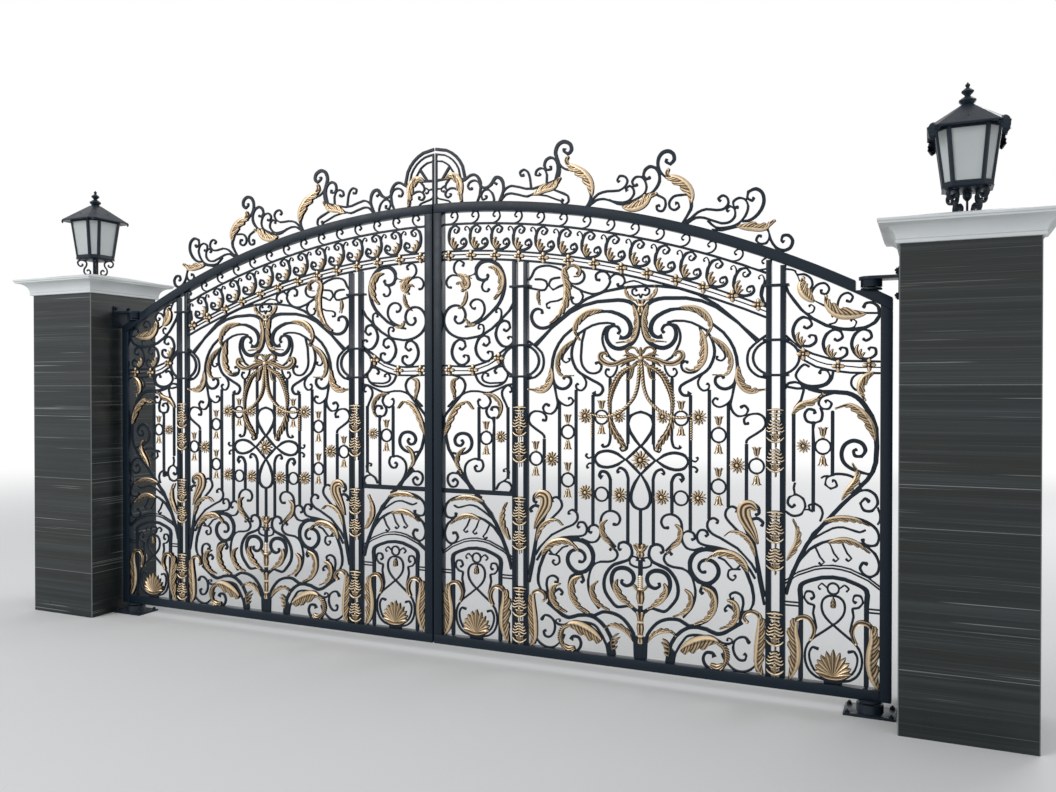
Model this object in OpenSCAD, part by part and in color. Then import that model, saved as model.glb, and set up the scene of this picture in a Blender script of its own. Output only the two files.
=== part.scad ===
// Wrought iron driveway gate: two leaves with arched tops, hung between
// two stone clad posts with lanterns. Each leaf is drawn once, for the right
// hand side, with x measured from the seam, z from the ground and y = 0 at
// the middle of its thickness. The left hand leaf is its mirror image.

/* [Opening] */
// Clear width between the two posts
opening_w = 4746; // [4300:10:5200]
// Gap between a leaf and its post
post_gap = 32; // [20:1:45]
// Gap between the two leaves at the seam
seam_gap = 8; // [6:1:16]
// Gap between the ground and a leaf
ground_gap = 60; // [56:1:90]

/* [Leaf] */
// Height of the leaves at the seam
crown_h = 2473; // [2350:1:2650]
// Radius of the arched top, along its upper edge
arch_r = 4820; // [4300:10:5600]
// Side of the square tube of the frame
tube = 50; // [44:1:56]
// Side of a square pilaster bar
pilaster_bar = 25; // [20:1:30]
// Distance between the two bars of a pilaster, centre to centre
pilaster_pitch = 65; // [56:1:80]
// Distance from the seam to the middle of the inner pilaster
inner_pilaster_x = 519; // [470:1:560]
// Distance from the seam to the middle of the outer pilaster
outer_pilaster_x = 1834; // [1780:1:1870]

/* [Scrollwork] */
// Width of a scroll bar, seen from the front
bar_w = 12; // [10:0.5:15]
// Depth of a scroll bar, front to back
bar_d = 14; // [12:0.5:18]
// Side of a picket
picket_w = 16; // [13:0.5:20]
// Pitch of the scrolls in the frieze, along the arch
frieze_pitch = 129; // [118:1:150]
// Depth by which a casting stands out from the bars behind it
relief = 7; // [5:0.5:10]

/* [Posts] */
// Side of a square post
post_w = 528; // [450:2:620]
// Height of a post above its upper hinge bracket
post_over = 72; // [20:2:160]
// Distance by which the posts' middle stands behind the leaves
post_back = 25; // [0:1:60]
// Height of the cap
cap_h = 138; // [110:1:170]
// Overhang of the cap
cap_over = 84; // [60:1:110]
// Height of a lantern with its foot
lantern_h = 600; // [520:5:680]
// Width of a lantern across its eaves
lantern_w = 310; // [270:5:360]

/* [Hinges] */
// Distance from a leaf's outer edge to its pivot
pivot_in = 90; // [80:1:110]
// Diameter of the pivot pins
pin_d = 36; // [30:1:44]
// Diameter of the bearing housings
bearing_d = 92; // [86:1:104]
// Gap between a pin and its bore, all round
pin_fit = 0.05; // [0.02:0.01:0.1]

/* [Hidden] */
LEAF_NODES = ["hinge_stile", "meeting_stile", "bottom_rail", "top_rail", "inner_pilaster",
    "outer_pilaster", "frieze", "volutes", "pickets", "fountain", "inner_panel", "outer_panel",
    "cresting", "leaves", "flowers", "husks", "ribbons", "pivot_pins"];

$fn = 48;
$flip = false;
seat = 0.2;                 // clearance where two fixed pieces meet
sag = 4.4;                  // most that a facet of a bar leaves its true curve
iron = "#20242b";
gold = "#b08a4e";
stone = "#5a5c5e";
chalk = "#c9ccce";
frost = "#e6eaee";

leaf_w = opening_w / 2 - post_gap;      // seam to the leaf's outer edge
leaf_in = seam_gap / 2;                 // seam to the leaf's inner edge
stile_in = leaf_in + tube;              // inner face of the meeting stile
stile_out = leaf_w - tube;              // inner face of the hinge stile
foot = ground_gap + tube;               // top of the bottom rail
pair_w = pilaster_pitch + pilaster_bar; // width over a pilaster's two bars
post_x = opening_w / 2 + post_w / 2;    // seam to a post's middle
pivot_x = leaf_w - pivot_in;            // seam to a pivot's axis

// The sizes at which the scrollwork was drawn
drawn_spans = [54, 474, 564, 1789, 1879, 2291];
drawn_mid = 1176.5;
drawn_foot = 110;
drawn_crown = 2473;
drawn_r = 4820;
real_spans = [stile_in, inner_pilaster_x - pair_w / 2, inner_pilaster_x + pair_w / 2,
    outer_pilaster_x - pair_w / 2, outer_pilaster_x + pair_w / 2, stile_out];
spans = concat([[0, 0]], [for (i = [0:5]) [drawn_spans[i], real_spans[i]]], [[2341, leaf_w]]);

// Radial distances below the upper edge of the arch
frieze_top = 108;                                       // upper edge of the thin bar
thin_bar = 12;
frieze_bars = [[256, 266], [278, 284], [300, 312]];     // the three bars below the scrolls
frieze_base = frieze_bars[0][0];
frieze_end = frieze_bars[2][1];

function arch_z(x, below = 0) = crown_h - arch_r + sqrt(pow(arch_r - below, 2) - x * x);
function drawn_z(x) = drawn_crown - drawn_r + sqrt(drawn_r * drawn_r - x * x);

// Moves a drawn point with the frame, so that the scrollwork follows its sizes
function place(q) = let (p = $flip ? [2 * drawn_mid - q.x, q.y] : q,
        x = lookup(p.x, spans), top = arch_z(x), old = drawn_z(p.x))
    [x, p.y <= old ? foot + (p.y - drawn_foot) * (top - foot) / (old - drawn_foot)
                   : top + p.y - old];

// Smooth line through hand set points, with only the steps that its bends need
function turn(a, b) = acos(max(-1, min(1, (a * b) / (norm(a) * norm(b)))));
function mix(p, q, a, b, s) = p * (b - s) / (b - a) + q * (s - a) / (b - a);
function between(p, q, r, s, t) =
    let (b = sqrt(norm(q - p)), c = b + sqrt(norm(r - q)), d = c + sqrt(norm(s - r)),
        u = b + (c - b) * t,
        m = mix(p, q, 0, b, u), n = mix(q, r, b, c, u), o = mix(r, s, c, d, u))
    mix(mix(m, n, 0, c, u), mix(n, o, b, d, u), b, c, u);
function steps(chord, bend) = bend < 6 ? 1 :
    let (r = chord / (2 * sin(min(bend, 170) / 2)))
    max(1, round(bend / min(68, 2 * acos(max(0, 1 - sag / r)))));
function smooth(q, ring = false) =
    let (n = len(q), e = ring ? concat([q[n - 2]], q, [q[1]])
                              : concat([2 * q[0] - q[1]], q, [2 * q[n - 1] - q[n - 2]]))
    [for (i = [0:n - 2])
        let (bend = (turn(e[i + 1] - e[i], e[i + 2] - e[i + 1])
                   + turn(e[i + 2] - e[i + 1], e[i + 3] - e[i + 2])) / 2,
            m = steps(norm(e[i + 2] - e[i + 1]), bend))
        for (k = [0:m - 1]) between(e[i], e[i + 1], e[i + 2], e[i + 3], k / m),
     q[n - 1]];

// Line without every second point that lies as good as straight between its neighbours
function off(a, b, p) = abs(cross(b - a, p - a)) / norm(b - a);
function thin(q, most = sag) = [for (i = [0:len(q) - 1])
    if (i == 0 || i == len(q) - 1 || i % 2 == 1 || off(q[i - 1], q[i + 1], q[i]) > most) q[i]];

// Ribbon along a line: w wide at its ends and mid wide half way, with a thick
// eye at its first end (1), at its last (2) or at both (3)
module ribbon(line, w, mid, eyes = 0) {
    n = len(line);
    d = [for (i = [0:n - 1]) let (t = line[min(n - 1, i + 1)] - line[max(0, i - 1)],
            eye = (i == 0 && eyes % 2 == 1) || (i == n - 1 && eyes > 1) ? 1.7 : 1)
        [-t.y, t.x] / norm(t) * eye * (w + (mid - w) * sin(180 * i / (n - 1))) / 2];
    polygon(concat([for (i = [0:n - 1]) line[i] + d[i]], [for (i = [n - 1:-1:0]) line[i] - d[i]]));
}

// Bar bent along drawn points
module bar(points, eyes = 2, w = bar_w, mid = 0) {
    ribbon(thin(smooth([for (q = points) place(q)])), w, max(mid, w), eyes);
}

// Bar bent into a closed loop, drawn either way round
module loop(points, w = bar_w) {
    line = thin(smooth([for (q = concat(points, [points[0]])) place(q)], ring = true));
    n = len(line) - 1;
    way = sign([for (i = [0:n - 1]) 1] * [for (i = [0:n - 1]) cross(line[i], line[i + 1])]);
    d = [for (i = [0:n - 1]) let (t = line[i + 1] - line[(i + n - 1) % n]) [-t.y, t.x] / norm(t) * way * w / 2];
    difference() {
        polygon([for (i = [0:n - 1]) line[i] - d[i]]);
        polygon([for (i = [0:n - 1]) line[i] + d[i]]);
    }
}

module ring(p, r, w = bar_w) {
    translate(place(p)) difference() {
        circle(r = r, $fn = 12);
        circle(r = r - w, $fn = 12);
    }
}

// Leaf shape along drawn points, pointed at both ends
module leaf(points, w) { ribbon(thin(smooth([for (q = points) place(q)]), 2 * sag), 0, w); }

// Draws its children on the left of the main panel and mirrored on its right
module both() {
    children();
    let ($flip = true) children();
}

// Flat work of the given depth, in the plane of the leaf, without slits or slivers
module flat(depth) {
    translate([0, depth / 2, 0]) rotate([90, 0, 0]) linear_extrude(depth)
        offset(delta = -seat) offset(delta = 2 * seat) offset(delta = -seat) children();
}

// Castings on the front and on the back of bars of the given depth
module faced(depth, thick) {
    for (y = [-depth / 2 - seat, depth / 2 + seat + thick]) translate([0, y, 0]) rotate([90, 0, 0])
        linear_extrude(thick) children();
}

module strip(x, z, w, h) { translate([x, z]) square([w, h]); }

// Region under an arc at the given distance below the top edge
module under_arc(below, side = leaf_w) {
    n = 24;
    polygon(concat([[0, 0]], [for (i = [0:n]) [side * i / n, arch_z(side * i / n, below)]], [[side, 0]]));
}

// Clear space between two uprights, under an arc
module field(x0, x1, below) {
    intersection() {
        under_arc(below + seat);
        strip(x0 + seat, foot + seat, x1 - x0 - 2 * seat, crown_h);
    }
}

module arc_bar(from, to, x0, x1) {
    n = 12;
    polygon(concat([for (i = [0:n]) let (x = x0 + (x1 - x0) * i / n) [x, arch_z(x, from)]],
        [for (i = [n:-1:0]) let (x = x0 + (x1 - x0) * i / n) [x, arch_z(x, to)]]));
}

module on_side(side) { mirror([side < 0 ? 1 : 0, 0, 0]) children(); }

// Frame of a leaf

module hinge_stile() {
    color(iron) translate([0, tube / 2, 0]) rotate([90, 0, 0]) linear_extrude(tube) intersection() {
        strip(stile_out, ground_gap, tube, crown_h);
        translate([0, crown_h - arch_r]) circle(r = arch_r - tube - seat, $fn = 240);
    }
}

module meeting_stile() {
    color(iron) translate([leaf_in, -tube / 2, foot + seat])
        cube([tube, tube, arch_z(stile_in, tube) - foot - 2 * seat]);
}

module bottom_rail() {
    color(iron) translate([leaf_in, -tube / 2, ground_gap])
        cube([stile_out - leaf_in - seat, tube, tube]);
}

seat_z = arch_z(pivot_x, tube) + tube * 0.92;   // flat cut into the arch for the top pivot
notch = bearing_d / 2 + 20;                     // half length of that flat

module top_rail() {
    color(iron) translate([0, tube / 2, 0]) rotate([90, 0, 0]) linear_extrude(tube) difference() {
        intersection() {
            difference() {
                translate([0, crown_h - arch_r]) circle(r = arch_r, $fn = 240);
                translate([0, crown_h - arch_r]) circle(r = arch_r - tube, $fn = 240);
            }
            strip(leaf_in, foot, leaf_w - leaf_in, crown_h);
        }
        strip(pivot_x - notch, seat_z, 2 * notch, crown_h);
    }
}

// Pilaster: two square bars tied by collars, with an oval ring round them; the inner one ends under the frieze
collar = 12;                // height of a collar
collar_over = 14;           // width of a collar beyond the bars
oval_w = 112;
oval_h = 90;

module pilaster(x, drawn_x, collar_z, below) {
    zs = [for (z = [collar_z, 1690, 1525]) place([drawn_x, z]).y];
    color(iron) {
        translate([x, 0, 0]) {
            for (s = [-1, 1])
                translate([s * pilaster_pitch / 2 - pilaster_bar / 2, -pilaster_bar / 2, foot + seat])
                    cube([pilaster_bar, pilaster_bar,
                        arch_z(x + s * pilaster_pitch / 2 + pilaster_bar / 2, below) - foot - 2 * seat]);
            for (z = zs)
                translate([-pair_w / 2 - collar_over, -pilaster_bar / 2 - 6, z - collar / 2])
                    cube([pair_w + 2 * collar_over, pilaster_bar + 12, collar]);
        }
        flat(bar_d) intersection() {
            translate([x, (zs[1] + zs[2]) / 2]) difference() {
                scale([1, oval_h / oval_w]) circle(r = oval_w, $fn = 28);
                scale([1, (oval_h - bar_w) / (oval_w - bar_w)]) circle(r = oval_w - bar_w, $fn = 28);
            }
            strip(x - 2 * oval_w, zs[2], 4 * oval_w, zs[1] - zs[2]);
        }
    }
}

// Bars, collars and oval of a pilaster with the clearance of a seat round them
module pilaster_gap(x, drawn_x, collar_z) {
    zs = [for (z = [collar_z, 1690, 1525]) place([drawn_x, z]).y];
    for (s = [-1, 1]) strip(x + s * pilaster_pitch / 2 - pilaster_bar / 2 - seat, 0,
        pilaster_bar + 2 * seat, 2 * crown_h);
    for (z = zs) strip(x - pair_w / 2 - collar_over - seat, z - collar / 2 - seat,
        pair_w + 2 * collar_over + 2 * seat, collar + 2 * seat);
    translate([x, (zs[1] + zs[2]) / 2]) scale([1, oval_h / oval_w]) circle(r = oval_w + 1);
}

module pilaster_gaps() {
    pilaster_gap(inner_pilaster_x, 519, 2000);
    pilaster_gap(outer_pilaster_x, 1834, 1945);
}

// Frieze under the arched rail: hooks, a thin bar, a row of scrolls and three thin bars
module frieze_outline() {
    x0 = stile_in;
    x1 = outer_pilaster_x;
    n = round((x1 - x0) / frieze_pitch);
    arc_bar(frieze_top, frieze_top + thin_bar, x0, x1);
    for (b = frieze_bars) arc_bar(b[0], b[1], x0, x1);
    difference() {
        for (i = [0:n - 1]) {
            x = x0 + (x1 - x0) * (i + 0.66) / n;
            h = x0 + (x1 - x0) * (i + 0.54) / n;
            translate([x, arch_z(x, frieze_base)]) rotate(-asin(x / arch_r)) frieze_scroll(i > 0);
            translate([h, arch_z(h, frieze_top)]) rotate(-asin(h / arch_r)) frieze_hook();
        }
        strip(x1 - pair_w / 2, 0, pair_w, 2 * crown_h);
    }
}

// Lowest bar of the frieze with the clearance of a seat, for what ends under it
module frieze_gap() {
    offset(delta = seat) arc_bar(frieze_bars[2][0], frieze_end, stile_in, outer_pilaster_x);
}

// Scroll with two inward curls and a small branch, drawn about the middle of its base
module frieze_scroll(branch) {
    ribbon(thin(smooth([[2, 96], [10, 118], [-14, 134], [-41, 118], [-51, 80], [-42, 36], [-18, 8], [14, 4],
        [46, 20], [57, 42], [44, 62], [26, 52]])), bar_w * 0.8, bar_w * 1.4, 3);
    if (branch) ribbon(thin(smooth([[-50, 84], [-58, 114], [-74, 130], [-87, 116], [-78, 104]])),
        bar_w * 0.6, bar_w * 0.6, 2);
}

module frieze_hook() {
    h = frieze_top - tube;
    ribbon([[-20, -5], [8, 10], [19, 34], [10, h - 2], [-12, h - 1], [-25, h - 20], [-10, h - 30]],
        bar_w * 0.7, bar_w * 0.7, 2);
}

module frieze() {
    color(iron) flat(bar_d) intersection() {
        difference() {
            frieze_outline();
            pilaster_gap(outer_pilaster_x, 1834, 1945);
        }
        field(stile_in, real_spans[3], tube);
    }
}

// Upper half of the main panel: a broad arch that rolls into two facing volutes
module volutes_outline() {
    both() {
        bar([[610, 1687], [700, 1781], [795, 1863], [890, 1920], [985, 1953], [1090, 1968], [1177, 1971]],
            0, bar_w * 1.2);
        bar([[597, 1690], [698, 1777], [798, 1852], [870, 1886], [947, 1903], [1058, 1907], [1113, 1897],
            [1147, 1873], [1164, 1835], [1167, 1790], [1160, 1740], [1141, 1700], [1102, 1671], [1058, 1662],
            [1022, 1677], [1000, 1708], [997, 1740], [1008, 1766], [1030, 1778], [1056, 1772], [1068, 1752],
            [1056, 1734]], 2, bar_w, bar_w * 1.9);
        bar([[970, 1852], [1025, 1849], [1058, 1838], [1091, 1820], [1113, 1798], [1124, 1770], [1122, 1742],
            [1108, 1723], [1086, 1715], [1066, 1720]], 2, bar_w * 1.3, bar_w * 1.9);
        bar([[846, 1742], [881, 1764], [920, 1783], [958, 1792], [1003, 1794], [1040, 1787]], 0);
        bar([[1045, 1782], [997, 1772], [981, 1748], [975, 1715], [981, 1682], [997, 1648], [1019, 1615],
            [1062, 1588]], 0);
        bar([[975, 1852], [892, 1832], [831, 1787], [765, 1731], [715, 1654], [698, 1571], [709, 1493],
            [727, 1470], [754, 1460], [781, 1466], [803, 1490], [800, 1515], [775, 1525], [760, 1510]],
            2, bar_w, bar_w * 1.4);
        bar([[709, 1493], [718, 1450], [731, 1388], [720, 1352], [693, 1330], [658, 1337], [648, 1362],
            [664, 1381], [686, 1371]], 2);
        bar([[728, 1410], [748, 1388], [782, 1373], [808, 1383], [816, 1400], [804, 1416], [788, 1409]], 2, bar_w * 0.85);
        bar([[642, 1298], [662, 1294], [666, 1316], [645, 1337], [603, 1343],
            [575, 1327], [566, 1295], [581, 1268], [603, 1249], [641, 1228], [654, 1214], [656, 1200]], 1);
        bar([[850, 1748], [820, 1698], [809, 1659], [809, 1621], [831, 1565], [859, 1538], [892, 1515],
            [925, 1502], [970, 1477], [978, 1455], [962, 1431], [938, 1428], [928, 1445]], 2, bar_w * 1.2);
        bar([[866, 1532], [887, 1499], [884, 1472], [862, 1452], [837, 1460], [832, 1478], [846, 1488]], 2, bar_w * 0.9);
        bar([[880, 1760], [864, 1700], [859, 1626], [864, 1587], [881, 1560], [903, 1543], [935, 1539],
            [962, 1552], [970, 1579], [954, 1595], [935, 1588]], 2);
        bar([[1056, 1603], [1052, 1560], [1030, 1524], [1008, 1521], [992, 1540], [999, 1560], [1014, 1556]], 2, bar_w * 0.85);
        bar([[818, 1706], [764, 1640], [757, 1612], [775, 1596], [797, 1604], [793, 1620]], 2, bar_w * 0.8);
        bar([[564, 1712], [590, 1694], [640, 1650], [652, 1600], [640, 1555], [600, 1520], [564, 1512]], 0);
        bar([[1177, 1912], [1168, 1930], [1150, 1925], [1134, 1935], [1134, 1955], [1150, 1960], [1156, 1946]],
            2, bar_w * 0.8);
    }
    spandrel();
}

// Scrolls between the broad arch and the frieze, on the inner side only
module spandrel() {
    bar([[566, 2030], [584, 2052], [598, 2080], [621, 2096], [649, 2102], [683, 2100], [717, 2090], [752, 2074],
        [772, 2056]], 0);
    bar([[564, 1990], [590, 1985], [625, 1976], [655, 1975], [672, 1996], [665, 2019], [640, 2031], [600, 2033]], 0);
    bar([[775, 2000], [740, 1990], [704, 1975], [681, 2000], [692, 2026], [715, 2034], [745, 2036]], 0);
    bar([[760, 2095], [779, 2060], [784, 2020], [781, 1942], [773, 1897], [754, 1859], [726, 1820], [698, 1792],
        [665, 1778], [632, 1778], [604, 1792], [588, 1814], [582, 1842], [593, 1867], [615, 1878], [640, 1870],
        [644, 1850]], 2, bar_w, bar_w * 1.5);
    bar([[780, 1936], [730, 1916], [690, 1912], [668, 1900], [670, 1882], [688, 1880]], 2, bar_w * 0.8);
    bar([[783, 2030], [800, 2005], [837, 1998], [868, 2012], [878, 2038], [866, 2062], [842, 2060], [838, 2044]], 2);
    bar([[781, 2010], [798, 1997], [837, 1975], [870, 1958], [914, 1944], [947, 1944], [981, 1955], [1003, 1975],
        [1016, 2000], [1012, 2028], [992, 2051], [960, 2054], [940, 2038], [944, 2014], [964, 2012]], 2);
    bar([[1008, 2014], [1041, 2038], [1069, 2033], [1088, 2019], [1094, 1997], [1080, 1978], [1059, 1977],
        [1055, 1992]], 2);
    bar([[856, 1962], [870, 1936], [864, 1914], [845, 1896], [818, 1898], [806, 1918], [818, 1934]], 2, bar_w * 0.85);
    bar([[1092, 1990], [1140, 2000], [1190, 1985], [1230, 1966]], 0, bar_w * 0.7);
}

module volutes() {
    color(iron) flat(bar_d) intersection() {
        difference() {
            volutes_outline();
            pilaster_gaps();
            frieze_gap();
        }
        field(real_spans[2], real_spans[3], frieze_end);
    }
}

// Picket field, with a quatrefoil of loops at its middle
pickets_at = [[0, 640, 862], [66, 690, 905], [66, 1184, 1645], [160, 843, 925], [160, 1262, 1516],
    [252, 766, 1430], [344, 826, 1456], [436, 894, 1392], [522, 915, 1199]];

module pickets_outline() {
    both() {
        for (p = pickets_at) {
            a = place([drawn_mid - p[0], p[1]]);
            b = place([drawn_mid - p[0], p[2]]);
            strip(a.x - picket_w / 2, a.y, picket_w, b.y - a.y);
        }
        loop([[1095, 1105], [1057, 1079], [1005, 1063], [955, 1072], [934, 1104], [952, 1133], [1007, 1146],
            [1057, 1132]], bar_w * 1.3);
        bar([[1017, 1266], [1018, 1212], [1006, 1174], [982, 1166], [972, 1180]], 2, picket_w * 0.8);
        bar([[1110, 1190], [1104, 1158], [1080, 1148], [1070, 1162], [1084, 1172]], 2, bar_w * 0.8);
        bar([[932, 1130], [918, 1112], [900, 1106], [886, 1118], [894, 1130]], 2, bar_w * 0.8);
        bar([[934, 1080], [905, 1080], [890, 1068], [898, 1052]], 2, bar_w * 0.8);
        bar([[1018, 920], [1018, 1000], [1000, 1035], [970, 1040], [960, 1020], [975, 1010]], 2, picket_w);
        bar([[1111, 900], [1112, 1010], [1096, 1050], [1068, 1062], [1054, 1048], [1064, 1036]], 2, picket_w * 0.9);
        for (p = [[608, 1095], [787, 1238], [787, 990], [971, 925], [971, 1316]]) ring(p, 39.5, bar_w * 0.8);
    }
    loop([[1177, 1172], [1205, 1205], [1232, 1245], [1244, 1285], [1228, 1325], [1177, 1345], [1125, 1325],
        [1110, 1285], [1122, 1245], [1149, 1205]], bar_w * 1.3);
    loop([[1177, 1036], [1207, 990], [1224, 945], [1226, 900], [1208, 870], [1177, 858], [1146, 870],
        [1128, 900], [1130, 945], [1147, 990]], bar_w * 1.3);
    loop([[1177, 1177], [1214, 1139], [1252, 1105], [1214, 1071], [1177, 1033], [1139, 1071], [1101, 1105],
        [1139, 1139]], bar_w * 1.3);
}

module pickets() {
    color(iron) flat(bar_d) difference() {
        intersection() {
            pickets_outline();
            field(real_spans[2], real_spans[3], frieze_end);
        }
        offset(delta = seat) {
            volutes_outline();
            fountain_outline();
        }
        pilaster_gaps();
    }
}

// Lower half of the main panel: scrolls that rise from the foot like a fountain
module fountain_outline() {
    both() {
        bar([[568, 480], [585, 560], [600, 640], [620, 740], [643, 775], [647, 806], [632, 838], [602, 848],
            [577, 830], [584, 810]], 2, bar_w, bar_w * 1.4);
        bar([[570, 440], [594, 560], [610, 680], [630, 740], [660, 800], [690, 868], [675, 902], [632, 916],
            [600, 900], [596, 872], [614, 862]], 2, bar_w, bar_w * 1.6);
        bar([[612, 690], [645, 735], [680, 774], [731, 818], [754, 852], [746, 884], [722, 898], [699, 888],
            [700, 870]], 2);
        bar([[605, 590], [631, 632], [658, 664], [697, 700], [740, 727], [779, 744], [815, 760], [840, 790],
            [836, 822], [811, 837], [790, 826], [796, 810]], 2);
        bar([[612, 560], [636, 600], [669, 640], [708, 672], [751, 689], [795, 697], [846, 702], [881, 714],
            [892, 745], [876, 774], [850, 774], [838, 755], [852, 745]], 2);
        bar([[862, 690], [904, 676], [940, 682], [964, 715], [962, 750], [937, 766], [908, 756], [902, 732],
            [920, 724]], 2);
        bar([[640, 405], [622, 440], [620, 480], [628, 525], [640, 560], [655, 594], [677, 627], [708, 654],
            [746, 672], [795, 683], [844, 685], [885, 673], [912, 648], [926, 612], [924, 577], [908, 548],
            [884, 526], [852, 516], [825, 522], [798, 546], [786, 575], [792, 606], [815, 628], [850, 632],
            [876, 616], [882, 590], [868, 572], [845, 574]], 2, bar_w, bar_w * 1.9);
        bar([[678, 626], [700, 600], [735, 592], [740, 560], [718, 545], [702, 560], [712, 572]], 2, bar_w * 0.85);
        bar([[680, 600], [719, 598], [757, 638], [790, 650]], 0, bar_w * 0.8);
        bar([[684, 350], [676, 395], [668, 435], [676, 474], [706, 488], [731, 474], [728, 454], [712, 456]], 2);
        bar([[722, 310], [705, 345], [700, 375], [715, 405], [740, 422], [758, 405], [748, 390]], 2);
        bar([[930, 304], [888, 312], [844, 337], [814, 372], [800, 408], [797, 455], [808, 492], [835, 510],
            [865, 502], [874, 478], [860, 464]], 2, bar_w * 1.1, bar_w * 1.6);
        bar([[870, 300], [932, 303], [976, 326], [1014, 328], [1052, 320], [1090, 300], [1118, 271], [1140, 236],
            [1148, 195], [1151, 106]], 0, bar_w * 1.4);
        bar([[1177, 330], [1150, 348], [1120, 370], [1085, 364], [1052, 361], [1019, 392], [992, 430], [984, 470],
            [992, 514], [1014, 550], [1041, 574], [1079, 588], [1114, 602], [1133, 634], [1124, 674], [1094, 690],
            [1066, 680], [1060, 655], [1076, 648]], 2, bar_w, bar_w * 1.4);
        bar([[960, 340], [922, 385], [903, 430], [899, 480], [912, 536], [934, 567], [965, 581], [1005, 584],
            [1038, 594], [1056, 618], [1050, 642], [1028, 656], [1014, 642]], 2);
        bar([[1048, 660], [1010, 700], [975, 735], [966, 770], [972, 812], [995, 836], [1027, 843], [1058, 830],
            [1070, 802], [1056, 776], [1030, 776]], 2);
        bar([[1162, 350], [1120, 375], [1080, 400], [1046, 436], [1027, 478], [1027, 516], [1044, 546], [1076, 559],
            [1110, 556], [1136, 536], [1142, 508], [1128, 481], [1100, 471], [1078, 484], [1082, 502]], 2,
            bar_w, bar_w * 1.8);
        bar([[1177, 566], [1150, 570], [1124, 582], [1120, 604], [1138, 622], [1160, 616], [1160, 600]], 2, bar_w * 0.85);
        bar([[1040, 106], [1034, 162], [1019, 206], [997, 244], [970, 271], [932, 295], [888, 302], [844, 296],
            [795, 279], [755, 290], [724, 312], [697, 331], [672, 348]], 0, bar_w * 1.6);
        bar([[1008, 106], [998, 160], [975, 205], [950, 240], [932, 255], [888, 263], [844, 263], [801, 255],
            [768, 238], [735, 238], [716, 250]], 0, bar_w);
        bar([[595, 190], [605, 158], [631, 129], [669, 112], [712, 118], [757, 160], [770, 190]], 0);
        bar([[637, 249], [658, 277], [686, 274], [708, 256], [716, 225], [708, 190], [685, 167], [660, 170],
            [652, 192], [666, 200]], 3);
        bar([[716, 240], [724, 262], [742, 266], [744, 250]], 2, bar_w * 0.7);
        bar([[748, 150], [762, 122], [800, 106], [842, 116], [860, 150], [846, 182], [815, 184], [806, 165]], 2, bar_w * 1.2);
        bar([[600, 120], [612, 170], [610, 244], [594, 299], [584, 353], [596, 394], [630, 408], [664, 398],
            [674, 378], [660, 368]], 2, bar_w * 1.2);
    }
    strip(place([1165, 110]).x, foot, place([1188, 110]).x - place([1165, 110]).x, place([drawn_mid, 640]).y - foot);
}

module fountain() {
    color(iron) flat(bar_d) intersection() {
        difference() {
            fountain_outline();
            pilaster_gaps();
        }
        field(real_spans[2], real_spans[3], frieze_end);
    }
}

// Lower work that the two narrow panels share: a door-like arch with a heart and
// a bowl in it, two long leaves over it, and the stem that rises from one side.
// Drawn from the panel's middle, with the stem's foot at the negative side.
function at(c, s, q) = [for (p = q) [c + s * p.x, p.y]];

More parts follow.
